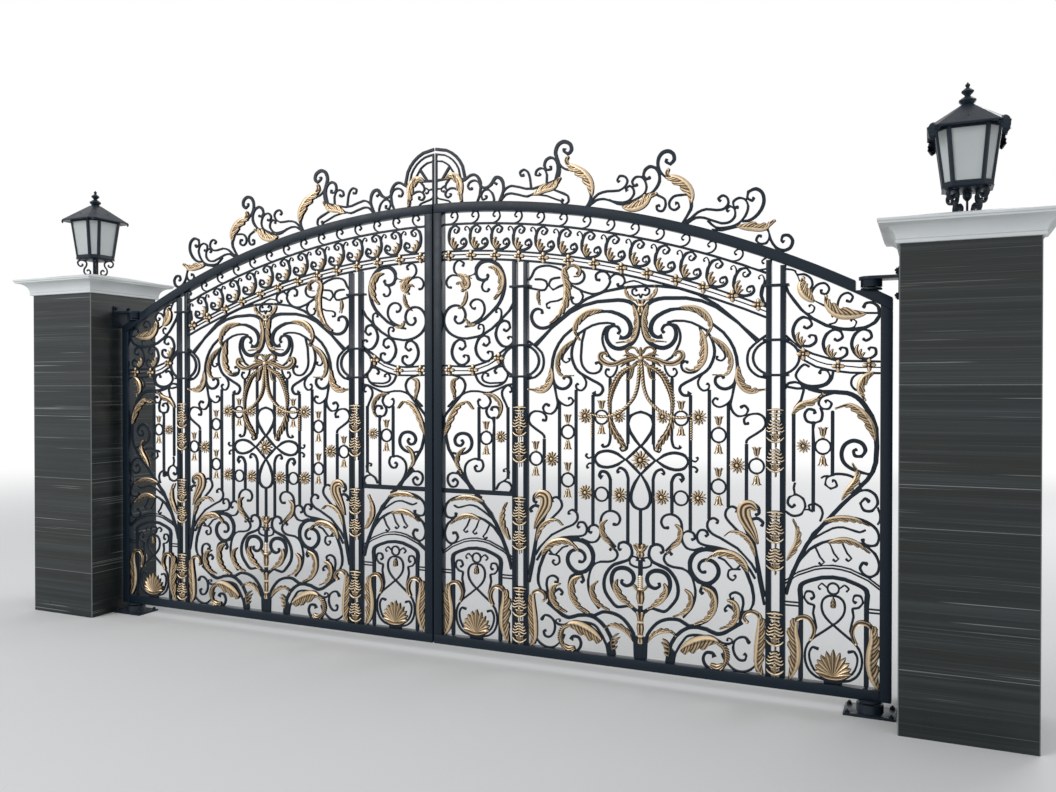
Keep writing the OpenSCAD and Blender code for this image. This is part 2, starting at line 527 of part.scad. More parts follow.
module door_work(c, s) {
    bar(at(c, s, [[125, 1012], [42, 933], [-12, 873], [-65, 807], [-112, 740], [-145, 673], [-180, 590], [-206, 500]]),
        0, bar_w * 1.6);
    bar(at(c, s, [[-112, 740], [-85, 793], [-45, 833], [8, 860], [55, 873], [102, 874], [150, 860], [188, 830],
        [200, 793], [188, 760], [160, 753], [135, 763], [130, 785]]), 2, bar_w * 1.1);
    bar(at(c, s, [[-105, 755], [-38, 800], [2, 823], [48, 830], [118, 812], [145, 824]]), 0, bar_w * 0.8);
    bar(at(c, s, [[-178, 607], [-138, 673], [-98, 720], [-45, 753], [22, 770], [88, 770], [142, 753], [182, 720],
        [201, 673], [192, 632], [165, 613], [135, 623], [120, 650], [132, 674], [154, 670]]), 2, bar_w * 1.1);
    for (q = [[-40, 668], [22, 688], [78, 694]])
        bar(at(c, s, [[q.x - 36, q.y + 68], [q.x - 14, q.y + 20], [q.x + 6, q.y - 4], [q.x - 8, q.y - 16],
            [q.x - 20, q.y - 6]]), 2, bar_w * 0.7);
    for (r = [0, 14]) bar(at(c, s, [[-208, 566 - r], [-150, 610 - r], [-75, 642 - r], [2, 653 - r], [79, 642 - r],
        [154, 610 - r], [208, 570 - r]]), 0, bar_w * 0.6);
    for (u = [-138, 148]) {
        a = place([c + s * u, 120]);
        b = place([c + s * u, 552]);
        strip(a.x - bar_w * 0.9, foot, bar_w * 1.8, b.y - foot);
        e = place([c + s * sign(u) * 208, 448]);
        for (k = [0, 16]) strip(min(a.x, e.x), e.y + k, abs(e.x - a.x), bar_w * 0.6);
    }
    bar(at(c, s, [[-144, 545], [-95, 576], [-45, 593], [5, 598], [55, 593], [105, 576], [154, 545]]), 0, bar_w * 1.5);
    ring([c + s * 5, 546], 30, bar_w * 0.8);
    for (k = [-1, 1]) {
        bar(at(c, s, [[5 + k * 26, 548], [5 + k * 50, 566], [5 + k * 68, 550], [5 + k * 56, 536]]), 2, bar_w * 0.6);
        bar(at(c, s, [[5 + k * 100, 488], [5 + k * 84, 500], [5 + k * 92, 522], [5 + k * 118, 522], [5 + k * 128, 494],
            [5 + k * 110, 470], [5 + k * 84, 462], [5 + k * 88, 425], [5 + k * 78, 393], [5 + k * 74, 360],
            [5 + k * 84, 325]]), 1, bar_w * 0.9);
        bar(at(c, s, [[5, 514], [5 + k * -24, 510], [5 + k * -44, 492], [5 + k * -51, 460], [5 + k * -43, 427],
            [5 + k * -20, 397], [5, 377], [5 + k * 37, 350], [5 + k * 84, 314], [5 + k * 112, 280], [5 + k * 124, 240],
            [5 + k * 122, 198], [5 + k * 104, 158], [5 + k * 70, 132], [5 + k * 30, 122]]), 0, bar_w * 0.9);
        bar(at(c, s, [[5 + k * 62, 262], [5 + k * 90, 268], [5 + k * 104, 244], [5 + k * 102, 206], [5 + k * 84, 166],
            [5 + k * 52, 140],
            [5 + k * 26, 124]]), 1, bar_w * 0.8);
    }
    strip(place([c + s * 5, 120]).x - 40, foot, 80, 18);
}

module inner_panel_outline() {
    door_work(262, -1);
    bar([[319, 2073], [330, 2068], [319, 2048], [293, 2044], [268, 2054], [254, 2080], [258, 2111], [281, 2137],
        [312, 2147], [350, 2143], [385, 2121], [410, 2086], [424, 2040], [423, 1991], [407, 1940], [382, 1902],
        [344, 1864], [306, 1836], [268, 1817], [222, 1802], [186, 1796]], 1, bar_w, bar_w * 1.9);
    bar([[172, 2122], [180, 2142], [151, 2159], [129, 2146], [119, 2122], [124, 2097], [146, 2078], [198, 2067],
        [262, 2084]], 1, bar_w * 0.9);
    bar([[150, 2074], [110, 2080], [84, 2067], [72, 2042], [84, 2016], [105, 2012]], 2, bar_w * 0.9);
    bar([[325, 2050], [300, 2035], [290, 2010], [300, 1988], [322, 1982], [336, 1998]], 2, bar_w * 0.9);
    bar([[205, 1806], [249, 1820], [281, 1839], [302, 1866], [306, 1898], [293, 1928], [266, 1942], [236, 1937],
        [220, 1916], [232, 1895], [252, 1892]], 2);
    bar([[477, 1915], [452, 1873], [420, 1839], [388, 1814], [350, 1782], [306, 1757], [262, 1741], [200, 1732],
        [140, 1740], [88, 1768], [59, 1814], [62, 1866], [92, 1904], [136, 1914], [176, 1896], [190, 1858], [174, 1824],
        [144, 1816], [124, 1836], [132, 1860]], 2, bar_w, bar_w * 1.2);
    bar([[396, 1822], [406, 1850], [404, 1880], [388, 1890], [374, 1880], [378, 1864]], 2, bar_w * 0.8);
    bar([[292, 1752], [302, 1778], [296, 1802], [276, 1806], [266, 1792], [276, 1780]], 2, bar_w * 0.8);
    for (q = [[106, 1658], [252, 1676], [373, 1752]])
        bar([[q.x + 44, q.y + 26], [q.x + 62, q.y + 14], [q.x + 84, q.y + 32], [q.x + 76, q.y + 60], [q.x + 46, q.y + 70],
            [q.x + 16, q.y + 50], [q.x, q.y + 4], [q.x + 12, q.y - 36], [q.x + 40, q.y - 64], [q.x + 74, q.y - 68],
            [q.x + 102, q.y - 46], [q.x + 100, q.y - 20], [q.x + 80, q.y - 14], [q.x + 70, q.y - 26]], 3, bar_w * 0.9,
            bar_w * 1.3);
    bar([[54, 1588], [110, 1584], [180, 1580], [249, 1585], [312, 1603], [369, 1631], [420, 1663], [478, 1706]], 0, bar_w * 0.9);
    bar([[54, 1562], [120, 1559], [200, 1558], [262, 1566], [330, 1589], [390, 1622], [478, 1684]], 0, bar_w * 0.5);
    bar([[54, 1536], [130, 1534], [243, 1536], [312, 1552], [388, 1584], [446, 1618], [478, 1650]], 0, bar_w * 0.9);
    bar([[110, 1536], [141, 1528], [173, 1512], [189, 1480], [180, 1447], [154, 1415], [116, 1378], [91, 1346],
        [54, 1296]], 0, bar_w * 1.1);
    bar([[250, 1536], [262, 1510], [278, 1492], [306, 1476], [357, 1472], [398, 1480], [430, 1502], [445, 1531],
        [439, 1560], [414, 1580], [382, 1576], [366, 1556], [378, 1540]], 2);
    bar([[420, 1495], [392, 1492], [340, 1490], [300, 1503], [291, 1525], [305, 1546], [326, 1540], [326, 1524]], 2, bar_w * 0.9);
    bar([[80, 1360], [120, 1398], [154, 1420], [186, 1438], [224, 1447], [262, 1447], [302, 1440], [332, 1416],
        [342, 1388], [328, 1363], [298, 1354], [272, 1368], [266, 1392], [280, 1406]], 2);
    bar([[325, 1365], [316, 1340], [330, 1310], [356, 1298], [386, 1308], [396, 1338], [380, 1362], [352, 1360],
        [346, 1342]], 2, bar_w * 1.1);
    bar([[300, 1440], [340, 1440], [390, 1460], [440, 1480], [478, 1486]], 0);
    bar([[478, 1484], [440, 1478], [412, 1450], [412, 1420], [430, 1390], [446, 1350]], 0);
    bar([[440, 1478], [462, 1470], [468, 1450], [454, 1440]], 2, bar_w * 0.8);
    for (p = [[272, 1072, 1362], [361, 904, 1312], [445, 980, 1362]]) {
        a = place([p[0], p[1]]);
        strip(a.x - picket_w / 2, a.y, picket_w, place([p[0], p[2]]).y - a.y);
    }
    ring([316, 1196], 39, bar_w * 0.8);
    bar([[54, 1300], [66, 1240], [70, 1190], [86, 1130], [117, 1085], [152, 1026], [186, 972], [232, 905],
        [288, 870]], 0, bar_w * 1.4);
    bar([[110, 1110], [140, 1104], [190, 1112], [222, 1140], [228, 1176], [210, 1208], [172, 1218], [138, 1206],
        [124, 1180], [134, 1156], [160, 1150], [176, 1168], [164, 1184]], 2, bar_w, bar_w * 1.5);
    bar([[272, 1076], [250, 1082], [214, 1070], [190, 1044], [186, 1006], [200, 966], [232, 915]], 0);
    bar([[252, 1082], [288, 1074], [298, 1044], [282, 1018], [256, 1016], [246, 1036], [262, 1046]], 2);
    bar([[160, 1000], [140, 998], [110, 1000], [84, 985], [80, 955], [100, 926], [130, 928], [142, 952], [124, 968],
        [108, 952]], 2);
    bar([[375, 920], [392, 952], [420, 968], [452, 960], [468, 936], [458, 912]], 0);
    bar([[418, 966], [446, 990], [452, 1018], [436, 1036], [418, 1030], [424, 1016]], 2, bar_w * 0.8);
    a = place([54, 890]);
    strip(stile_in, a.y, real_spans[1] - stile_in, 25);
}

module inner_panel() {
    color(iron) flat(bar_d) intersection() {
        difference() {
            inner_panel_outline();
            pilaster_gaps();
            frieze_gap();
        }
        field(stile_in, real_spans[1], frieze_end);
    }
}

module outer_panel_outline() {
    door_work(2087, 1);
    bar([[1876, 1948], [1890, 1908], [1914, 1868], [1948, 1828], [1998, 1785], [2056, 1752], [2114, 1735], [2171, 1729],
        [2224, 1736], [2265, 1758], [2286, 1790], [2280, 1828], [2256, 1848], [2228, 1846], [2216, 1824]], 2,
        bar_w, bar_w * 1.4);
    bar([[1876, 2020], [1919, 2008], [1934, 1965], [1955, 1922], [1991, 1878], [2042, 1846], [2085, 1824], [2142, 1806],
        [2200, 1802], [2290, 1800]], 0, bar_w * 0.8);
    bar([[1926, 1990], [1960, 1990], [1990, 1968], [1996, 1935], [1978, 1912], [1956, 1918]], 2, bar_w * 0.9);
    bar([[1990, 1882], [1996, 1912], [2020, 1940], [2052, 1944], [2070, 1920], [2058, 1896], [2036, 1900], [2036, 1918]],
        2, bar_w * 0.9);
    bar([[2110, 1816], [2108, 1850], [2124, 1886], [2152, 1896], [2172, 1878], [2162, 1856], [2142, 1862]], 2, bar_w * 0.9);
    for (q = [[1990, 1836], [2090, 1786], [2172, 1764]])
        bar([[q.x - 20, q.y - 30], [q.x + 8, q.y - 22], [q.x + 16, q.y], [q.x + 2, q.y + 14], [q.x - 10, q.y + 4]], 2,
            bar_w * 0.7);
    for (q = [[1910, 1724], [2045, 1664], [2168, 1662]])
        bar([[q.x + 46, q.y + 26], [q.x + 62, q.y + 16], [q.x + 84, q.y + 32], [q.x + 76, q.y + 58], [q.x + 46, q.y + 68],
            [q.x + 16, q.y + 48], [q.x, q.y + 4], [q.x + 12, q.y - 36], [q.x + 40, q.y - 62], [q.x + 74, q.y - 66],
            [q.x + 102, q.y - 46], [q.x + 100, q.y - 20], [q.x + 80, q.y - 14], [q.x + 70, q.y - 26]], 3, bar_w * 0.9,
            bar_w * 1.3);
    bar([[1876, 1712], [1912, 1676], [1950, 1647], [2000, 1622], [2050, 1603], [2105, 1589], [2164, 1584],
        [2294, 1583]], 0, bar_w * 0.9);
    bar([[1876, 1690], [1930, 1648], [1990, 1602], [2060, 1574], [2130, 1562], [2200, 1558], [2294, 1557]], 0, bar_w * 0.5);
    bar([[1876, 1656], [1910, 1622], [1948, 1597], [2013, 1563], [2085, 1544], [2164, 1534], [2294, 1531]], 0, bar_w * 0.9);
    bar([[1986, 1562], [1962, 1573], [1936, 1550], [1924, 1520], [1941, 1493], [1977, 1476],
        [2020, 1475], [2058, 1487], [2076, 1518], [2062, 1545], [2036, 1548], [2028, 1528]], 2);
    bar([[2090, 1546], [2084, 1510], [2060, 1480], [2020, 1466], [1976, 1464], [1930, 1462], [1876, 1472]], 0);
    bar([[1876, 1462], [1890, 1486], [1920, 1492], [1948, 1482], [1959, 1453], [1948, 1410], [1922, 1374],
        [1912, 1346]], 0);
    bar([[1950, 1484], [1984, 1461], [2042, 1447], [2100, 1446], [2150, 1442], [2190, 1424], [2224, 1388], [2254, 1338],
        [2272, 1284], [2276, 1200], [2272, 1130], [2260, 1090], [2236, 1050], [2200, 1012], [2170, 980]], 0,
        bar_w * 1.4, bar_w * 1.9);
    bar([[2105, 1446], [2070, 1436], [2036, 1420], [2026, 1392], [2042, 1370], [2070, 1370], [2082, 1394], [2066, 1410],
        [2052, 1400]], 2);
    bar([[2034, 1376], [2042, 1350], [2036, 1316], [2006, 1300], [1974, 1312], [1964, 1342], [1980, 1366], [2006, 1362],
        [2010, 1344]], 2, bar_w * 1.1);
    bar([[2220, 1534], [2196, 1530], [2172, 1510], [2168, 1478], [2190, 1455], [2212, 1468], [2206, 1488]], 2, bar_w * 0.9);
    for (p = [[1915, 1028, 1350], [2003, 895, 1312], [2087, 1062, 1362]]) {
        a = place([p[0], p[1]]);
        strip(a.x - picket_w / 2, a.y, picket_w, place([p[0], p[2]]).y - a.y);
    }
    ring([2045, 1196], 39, bar_w * 0.8);
    bar([[2250, 1076], [2216, 1082], [2170, 1098], [2136, 1126], [2126, 1166], [2140, 1206], [2176, 1226], [2214, 1214],
        [2228, 1182], [2212, 1156], [2184, 1158], [2178, 1180], [2194, 1188]], 2, bar_w, bar_w * 1.6);
    bar([[2214, 1014], [2190, 1052], [2150, 1070], [2100, 1072], [2062, 1054], [2056, 1022], [2080, 1004], [2106, 1018],
        [2100, 1042], [2084, 1040]], 2);
    bar([[2070, 1062], [2052, 1060], [2036, 1050]], 0, bar_w * 0.8);
    bar([[2160, 968], [2196, 998], [2240, 1004], [2272, 982], [2280, 944], [2256, 912], [2222, 914], [2208, 944],
        [2228, 966], [2248, 950]], 2, bar_w * 1.1);
    bar([[2280, 930], [2290, 900], [2290, 870], [2280, 850]], 0, bar_w * 0.8);
    bar([[2033, 850], [2045, 887], [2034, 918], [2007, 934], [1984, 922], [1988, 900], [2004, 898]], 2, bar_w * 0.9);
    bar([[1876, 890], [1912, 870], [1950, 880], [1968, 916], [1958, 952], [1926, 970], [1896, 955], [1890, 926],
        [1908, 910], [1924, 924]], 2);
    bar([[1920, 968], [1916, 1000], [1922, 1026]], 0, bar_w * 0.9);
    bar([[1964, 900], [1990, 904]], 0, bar_w * 0.7);
}

module outer_panel() {
    color(iron) flat(bar_d) intersection() {
        difference() {
            outer_panel_outline();
            pilaster_gaps();
        }
        field(real_spans[4], stile_out, tube);
    }
}

// Cresting over the arched rail: a fan at the seam and three clusters of scrolls
module cresting_outline() {
    strip(leaf_in, crown_h - 20, bar_w, 300);
    for (r = [185, 158, 122]) bar([for (a = [2:22:90]) [leaf_in + r * cos(a), 2592 + r * sin(a)]], 0,
        r > 180 ? bar_w * 1.4 : bar_w * 0.8);
    bar([[8, 2604], [40, 2606], [90, 2606], [128, 2612], [150, 2606], [186, 2592]], 0, bar_w * 1.2);
    bar([[46, 2606], [70, 2640], [96, 2676]], 0, bar_w * 1.3);
    bar([[158, 2600], [176, 2588], [196, 2597], [220, 2612], [244, 2614], [266, 2600], [283, 2568], [283, 2538],
        [277, 2500], [258, 2456]], 0, bar_w, bar_w * 1.3);
    bar([[282, 2545], [270, 2572], [246, 2583], [218, 2576], [206, 2556], [216, 2538], [236, 2542]], 2);
    bar([[130, 2604], [154, 2560], [165, 2517], [170, 2456]], 0, bar_w * 1.5);
    bar([[148, 2540], [122, 2552], [94, 2553], [74, 2542], [66, 2522], [80, 2506], [100, 2512], [98, 2528]], 2);
    bar([[90, 2604], [72, 2584], [66, 2560], [78, 2548]], 0);
    bar([[70, 2574], [52, 2566], [38, 2556], [44, 2542], [60, 2540]], 2, bar_w * 0.8);
    bar([[8, 2560], [24, 2558], [40, 2556]], 0, bar_w * 0.8);
    bar([[8, 2516], [30, 2502], [58, 2492], [88, 2486], [110, 2462]], 0, bar_w * 0.8);
    bar([[281, 2555], [298, 2540], [322, 2538], [345, 2552], [356, 2572], [372, 2586], [398, 2582], [416, 2556],
        [420, 2520], [408, 2484], [388, 2446]], 0, bar_w, bar_w * 1.6);
    bar([[352, 2566], [368, 2558], [382, 2550]], 2, bar_w * 0.9);
    bar([[362, 2450], [363, 2474], [352, 2506], [330, 2526], [302, 2524], [286, 2500], [296, 2476], [318, 2480],
        [316, 2498]], 2);
    bar([[388, 2446], [412, 2498], [436, 2524], [468, 2534], [508, 2526], [550, 2511], [592, 2508], [660, 2522],
        [712, 2538]], 0);
    bar([[404, 2462], [432, 2490], [468, 2494], [513, 2482], [556, 2470], [610, 2486], [680, 2520], [716, 2530]], 0);
    bar([[580, 2513], [574, 2560], [562, 2596], [538, 2612], [516, 2600], [522, 2582], [542, 2584]], 2);
    bar([[668, 2526], [670, 2572], [656, 2604], [632, 2610], [610, 2598], [606, 2578], [624, 2572], [634, 2584]], 2);
    bar([[716, 2540], [728, 2580], [730, 2618], [716, 2648], [690, 2660], [664, 2648], [656, 2620], [668, 2598],
        [692, 2600], [690, 2618]], 2, bar_w, bar_w * 1.3);
    bar([[700, 2526], [730, 2548], [740, 2590], [732, 2636], [718, 2680], [732, 2720], [764, 2734], [800, 2716],
        [806, 2686], [788, 2670], [764, 2684], [768, 2700]], 2, bar_w * 1.2, bar_w * 1.7);
    bar([[734, 2632], [752, 2606], [777, 2590], [812, 2584]], 0);
    bar([[584, 2476], [620, 2474], [668, 2464], [724, 2440], [762, 2426]], 0, bar_w * 0.8);
    bar([[676, 2512], [712, 2490], [752, 2474], [786, 2454], [790, 2424], [768, 2410], [750, 2426], [762, 2440]], 2, bar_w * 0.9);
    bar([[900, 2484], [914, 2450], [910, 2420], [890, 2384]], 0, bar_w * 1.4);
    bar([[888, 2390], [924, 2424], [952, 2448], [1000, 2458], [1062, 2456], [1094, 2472], [1107, 2500], [1094, 2522],
        [1066, 2528], [1052, 2510], [1064, 2498]], 2);
    bar([[900, 2392], [942, 2418], [985, 2420], [1030, 2404], [1080, 2394], [1116, 2402], [1140, 2430], [1138, 2456],
        [1118, 2474], [1098, 2462], [1106, 2450]], 2);
    bar([[1010, 2414], [1050, 2392], [1100, 2384], [1160, 2408], [1196, 2430], [1206, 2460], [1198, 2492], [1178, 2513],
        [1150, 2515], [1132, 2494], [1142, 2472], [1162, 2478]], 2);
    bar([[1188, 2420], [1230, 2428], [1256, 2452], [1272, 2484], [1271, 2520], [1252, 2550], [1222, 2560], [1197, 2544],
        [1190, 2518], [1206, 2500], [1228, 2508]], 2, bar_w, bar_w * 1.4);
    bar([[1310, 2494], [1278, 2526], [1264, 2562], [1268, 2598], [1288, 2622], [1318, 2626], [1342, 2608], [1345, 2580],
        [1326, 2562], [1304, 2576], [1310, 2590]], 2, bar_w, bar_w * 1.6);
    bar([[1240, 2428], [1268, 2412], [1298, 2392], [1302, 2360], [1286, 2336], [1262, 2342], [1258, 2362], [1276, 2364]], 2);
    bar([[1416, 2404], [1380, 2406], [1344, 2402], [1322, 2376], [1326, 2348], [1348, 2336], [1370, 2350], [1366, 2370],
        [1350, 2368]], 2);
    bar([[1302, 2500], [1356, 2478], [1392, 2446], [1416, 2410], [1430, 2372], [1428, 2332], [1410, 2296], [1380, 2256]],
        0, bar_w, bar_w * 1.6);
    bar([[1372, 2256], [1428, 2288], [1462, 2315], [1504, 2327], [1552, 2319], [1588, 2322], [1610, 2346], [1604, 2374],
        [1582, 2386], [1562, 2372], [1574, 2358]], 2);
    bar([[1380, 2252], [1420, 2272], [1454, 2290], [1495, 2286], [1534, 2266], [1576, 2254], [1618, 2258], [1642, 2284],
        [1640, 2318], [1618, 2332], [1600, 2318], [1612, 2306]], 2);
    bar([[1510, 2272], [1550, 2236], [1607, 2232], [1658, 2246], [1690, 2280], [1704, 2325], [1690, 2358], [1662, 2368],
        [1634, 2352], [1636, 2326], [1660, 2324]], 2);
    bar([[1676, 2256], [1704, 2256], [1736, 2272], [1764, 2304], [1777, 2343], [1768, 2384], [1738, 2404], [1704, 2392],
        [1700, 2362], [1722, 2350], [1732, 2366]], 2, bar_w, bar_w * 1.4);
    bar([[1530, 2226], [1580, 2220], [1640, 2230], [1700, 2240]], 0, bar_w * 0.9);
    bar([[1650, 2236], [1700, 2230], [1760, 2214], [1796, 2208], [1804, 2172], [1788, 2146], [1758, 2144], [1742, 2162], [1752, 2182],
        [1768, 2178]], 2);
    bar([[1794, 2208], [1808, 2160], [1832, 2122], [1866, 2106], [1896, 2116], [1908, 2148], [1890, 2174], [1864, 2174],
        [1856, 2152], [1870, 2144]], 2, bar_w, bar_w * 1.3);
}

module cresting() {
    color(iron) flat(bar_d) difference() {
        intersection() {
            cresting_outline();
            strip(leaf_in, 0, leaf_w, 2 * crown_h);
        }
        under_arc(-seat - 0.4);
    }
}

// Gilt castings: leaves that lie along the bars, front and back
module leaves() {
    color(gold) faced(bar_d, relief) leaves_cut();
}

module leaves_cut() {
    difference() {
        intersection() {
            leaves_outline();
            free_field();
        }
        offset(delta = seat) ribbons_outline();
    }
}

// Where castings can lie: inside the stiles, or over the arched rail, and off the pilasters and their husks
module free_field() {
    difference() {
        strip(leaf_in, 0, leaf_w, 2 * crown_h);
        under_arc(-seat - 0.4);
    }
    difference() {
        field(stile_in, stile_out, tube);
        offset(delta = seat) husk_stacks();
        pilaster_gaps();
    }
}

module leaves_outline() {
    both() {
        leaf([[980, 1856], [892, 1842], [845, 1806], [826, 1760], [850, 1712]], 40);
        leaf([[830, 1712], [772, 1670], [738, 1620], [732, 1570], [752, 1530], [815, 1528]], 30);
        leaf([[1134, 1882], [1152, 1822], [1150, 1756], [1130, 1706], [1050, 1692]], 24);
        leaf([[690, 1572], [682, 1500], [640, 1454], [566, 1458]], 46);
        leaf([[640, 745], [664, 790], [690, 850], [680, 900], [640, 915]], 60);
        leaf([[640, 560], [680, 628], [740, 660], [800, 664], [862, 646]], 56);
        leaf([[749, 446], [712, 430], [703, 380], [730, 330], [778, 306]], 36);
        leaf([[870, 500], [822, 470], [812, 410], [840, 350], [900, 316]], 40);
        leaf([[1020, 795], [976, 775], [984, 730], [1012, 684], [1046, 650]], 30);
        leaf([[955, 480], [925, 450], [930, 400], [958, 364], [1010, 340]], 30);
        leaf([[1060, 500], [1050, 470], [1072, 420], [1104, 388], [1136, 368]], 40);
        leaf([[770, 210], [800, 240], [888, 246], [950, 226], [985, 190]], 60);
        leaf([[596, 112], [622, 190], [598, 280], [582, 360], [610, 404], [668, 384]], 46);
    }
    leaf([[800, 2088], [772, 2070], [788, 1990], [776, 1900], [722, 1822], [690, 1800]], 46);
    for (p = [[262, -1], [2087, 1]]) {
        leaf(at(p[0], p[1], [[-40, 850], [30, 866], [100, 866], [160, 845]]), 34);
        leaf(at(p[0], p[1], [[-20, 752], [50, 768], [110, 756], [160, 722]]), 34);
        for (k = [-1, 1])
            leaf(at(p[0], p[1], [[5 + k * 200, 118], [5 + k * 168, 210], [5 + k * 184, 320], [5 + k * 160, 402],
                [5 + k * 100, 396], [5 + k * 90, 350]]), 44);
        polygon([for (q = at(p[0], p[1], [[5, 132], [46, 138], [88, 176], [92, 218], [62, 206], [70, 248], [38, 236],
            [38, 268], [5, 250], [-28, 268], [-28, 236], [-60, 248], [-52, 206], [-82, 218], [-78, 176],
            [-36, 138]])) place(q)]);
    }
    leaf([[330, 2108], [372, 2098], [404, 2050], [398, 1980], [366, 1940]], 44);
    leaf([[140, 2078], [180, 2060], [200, 2020], [170, 1990]], 46);
    leaf([[236, 1352], [200, 1388], [150, 1368], [100, 1290], [66, 1200]], 36);
    leaf([[300, 1430], [356, 1420], [400, 1376], [400, 1330], [378, 1300]], 26);
    leaf([[1944, 2004], [1958, 1960], [1986, 1924], [2010, 1884]], 30);
    leaf([[2052, 1886], [2074, 1850], [2118, 1824], [2160, 1806]], 30);
    leaf([[2102, 1372], [2156, 1386], [2200, 1356], [2240, 1300], [2266, 1226]], 38);
    leaf([[2270, 1534], [2224, 1500], [2208, 1450], [2226, 1410]], 34);
    leaf([[66, 2600], [110, 2616], [146, 2586], [160, 2530], [166, 2480]], 34);
    leaf([[590, 2478], [650, 2506], [712, 2514], [744, 2548]], 34);
    leaf([[794, 2640], [788, 2596], [850, 2560], [900, 2510], [914, 2440]], 44);
    leaf([[1066, 2382], [1130, 2382], [1176, 2414], [1196, 2450]], 40);
    leaf([[1322, 2530], [1330, 2488], [1380, 2446], [1410, 2406], [1424, 2368]], 44);
    leaf([[1650, 2238], [1720, 2232], [1784, 2222], [1826, 2248]], 36);
}

// Rosettes, tulips and cups
rosettes = [[90, 2195], [225, 2190], [370, 2180], [510, 2168], [650, 2152], [790, 2128], [930, 2100], [1075, 2068],
    [1210, 2030], [1355, 1985], [1490, 1945], [1630, 1890], [1752, 1840]];
star_r = 40;

// Rosette of six round petals
module star(p, r) {
    translate(place(p)) {
        circle(r = r * 0.6, $fn = 24);
        for (i = [0:5]) rotate(i * 60) translate([r * 0.62, 0]) circle(r = r * 0.38, $fn = 24);
    }
}

// Tulip that opens away from its ring: s is 1 above the ring and -1 below it
module tulip(p, s) {
    translate(place(p)) scale([1, s]) polygon([[-8, -26], [8, -26], [18, 8], [29, 28], [12, 22], [0, 28],
        [-12, 22], [-29, 28], [-18, 8]]);
}

module flowers() {
    color(gold) {
        for (p = rosettes) faced(bar_d, relief) star([p.x, drawn_z(p.x) - 286], star_r * 0.72);
        both() for (p = [[698, 1095], [885, 930], [1068, 925], [884, 1322]]) faced(bar_d, relief) star(p, star_r);
        for (p = [[92, 1562], [236, 1562], [392, 1622], [404, 1204], [1957, 1622], [2110, 1564],
            [2243, 1568]]) faced(bar_d, relief) star(p, star_r * 0.85);
        faced(bar_d, relief) star([1959, 1196], star_r * 0.93);
        faced(bar_d, relief) star([1177, 1105], star_r * 1.25);
        faced(bar_d, relief) ring_cups();
        flat(bar_d) difference() {
            union() {
                both() for (p = [[607, 1095], [787, 1238], [787, 990]]) for (s = [-1, 1]) tulip([p.x, p.y + s * 66], s);
                both() for (p = [[971, 1377, 1], [971, 1255, -1]]) tulip([p[0], p[1]], p[2]);
                for (x = [316, 2045], s = [-1, 1]) tulip([x, 1196 + s * 65], s);
            }
            offset(delta = seat) {
                pickets_outline();
                volutes_outline();
                inner_panel_outline();
                outer_panel_outline();
            }
        }
    }
}

// Cups and urns on the middle line of the main panel
module ring_cups() {
    for (p = [[1177, 1870, 1], [1177, 650, 1], [1177, 460, 1.6], [1177, 322, 0.8], [1177, 236, 1.3]])
        translate(place([p[0], p[1]])) scale([1, p[2]]) polygon([[-9, -44], [9, -44], [22, -20], [18, 4], [30, 30],
            [16, 44], [0, 36], [-16, 44], [-30, 30], [-18, 4], [-22, -20]]);
}

// Stacks of husks on the pilasters: tiers of two leaves that overlap like scales
module husk_stack(x, z0, z1) {
    n = 4;
    h = (z1 - z0) / n;
    for (i = [0:n - 1]) translate([x, z0 + i * h]) polygon([[-pair_w * 0.3, 0], [pair_w * 0.3, 0],
        [pair_w / 2 + 4, h * 0.66], [0, h * 1.1], [-pair_w / 2 - 4, h * 0.66]]);
}

module husk_stacks() {
    for (x = [[inner_pilaster_x, 519], [outer_pilaster_x, 1834]], z = [[1065, 1360], [605, 880], [115, 405]])
        husk_stack(x[0], place([x[1], z[0]]).y, place([x[1], z[1]]).y);
}

module husks() {
    color(gold) faced(pilaster_bar, relief + 3) offset(delta = 0) husk_stacks();
}

// Bow and swags that hang from it, in front of the pickets and behind them
module ribbons() {
    color(gold) faced(bar_d, relief) offset(delta = 0) ribbons_outline();
}

module ribbons_outline() {
    both() {
        leaf([[1177, 1628], [1120, 1628], [1060, 1600], [1000, 1590], [962, 1616], [962, 1644], [990, 1650]], 22);
        leaf([[1172, 1600], [1130, 1640], [1090, 1650], [1120, 1610], [1172, 1600]], 16);
        bar([[1166, 1600], [1141, 1582], [1091, 1560], [1047, 1521], [1019, 1471], [1010, 1416], [1009, 1335],
            [1021, 1279], [1040, 1241], [1072, 1198], [1092, 1170]], 0, 12, 26);
        bar([[1172, 1600], [1164, 1527], [1147, 1444], [1113, 1394], [1069, 1355], [1025, 1333], [970, 1322],
            [928, 1331]], 0, 12, 14);
        bar([[918, 1284], [915, 1250], [913, 1206]], 0, 11, 13);
    }
    ring([1177, 1612], star_r * 0.7, star_r * 0.4);
}

// Pins on the leaf, on the axis of its pivots
pin_len = 32;
plate_t = 8;
flange = 8;                 // width of a round plate beyond its housing
pin_neck = 4;

module pivot_pins() {
    color(iron) translate([pivot_x, 0, 0]) {
        translate([0, 0, seat_z + seat]) cylinder(d = bearing_d, h = plate_t);
        translate([0, 0, seat_z + seat]) cylinder(d = pin_d, h = plate_t + pin_neck + pin_len);
        translate([0, 0, ground_gap - seat - plate_t]) cylinder(d = bearing_d + flange, h = plate_t);
        translate([0, 0, ground_gap - seat - plate_t - pin_len]) cylinder(d = pin_d, h = pin_len + 1);
    }
}

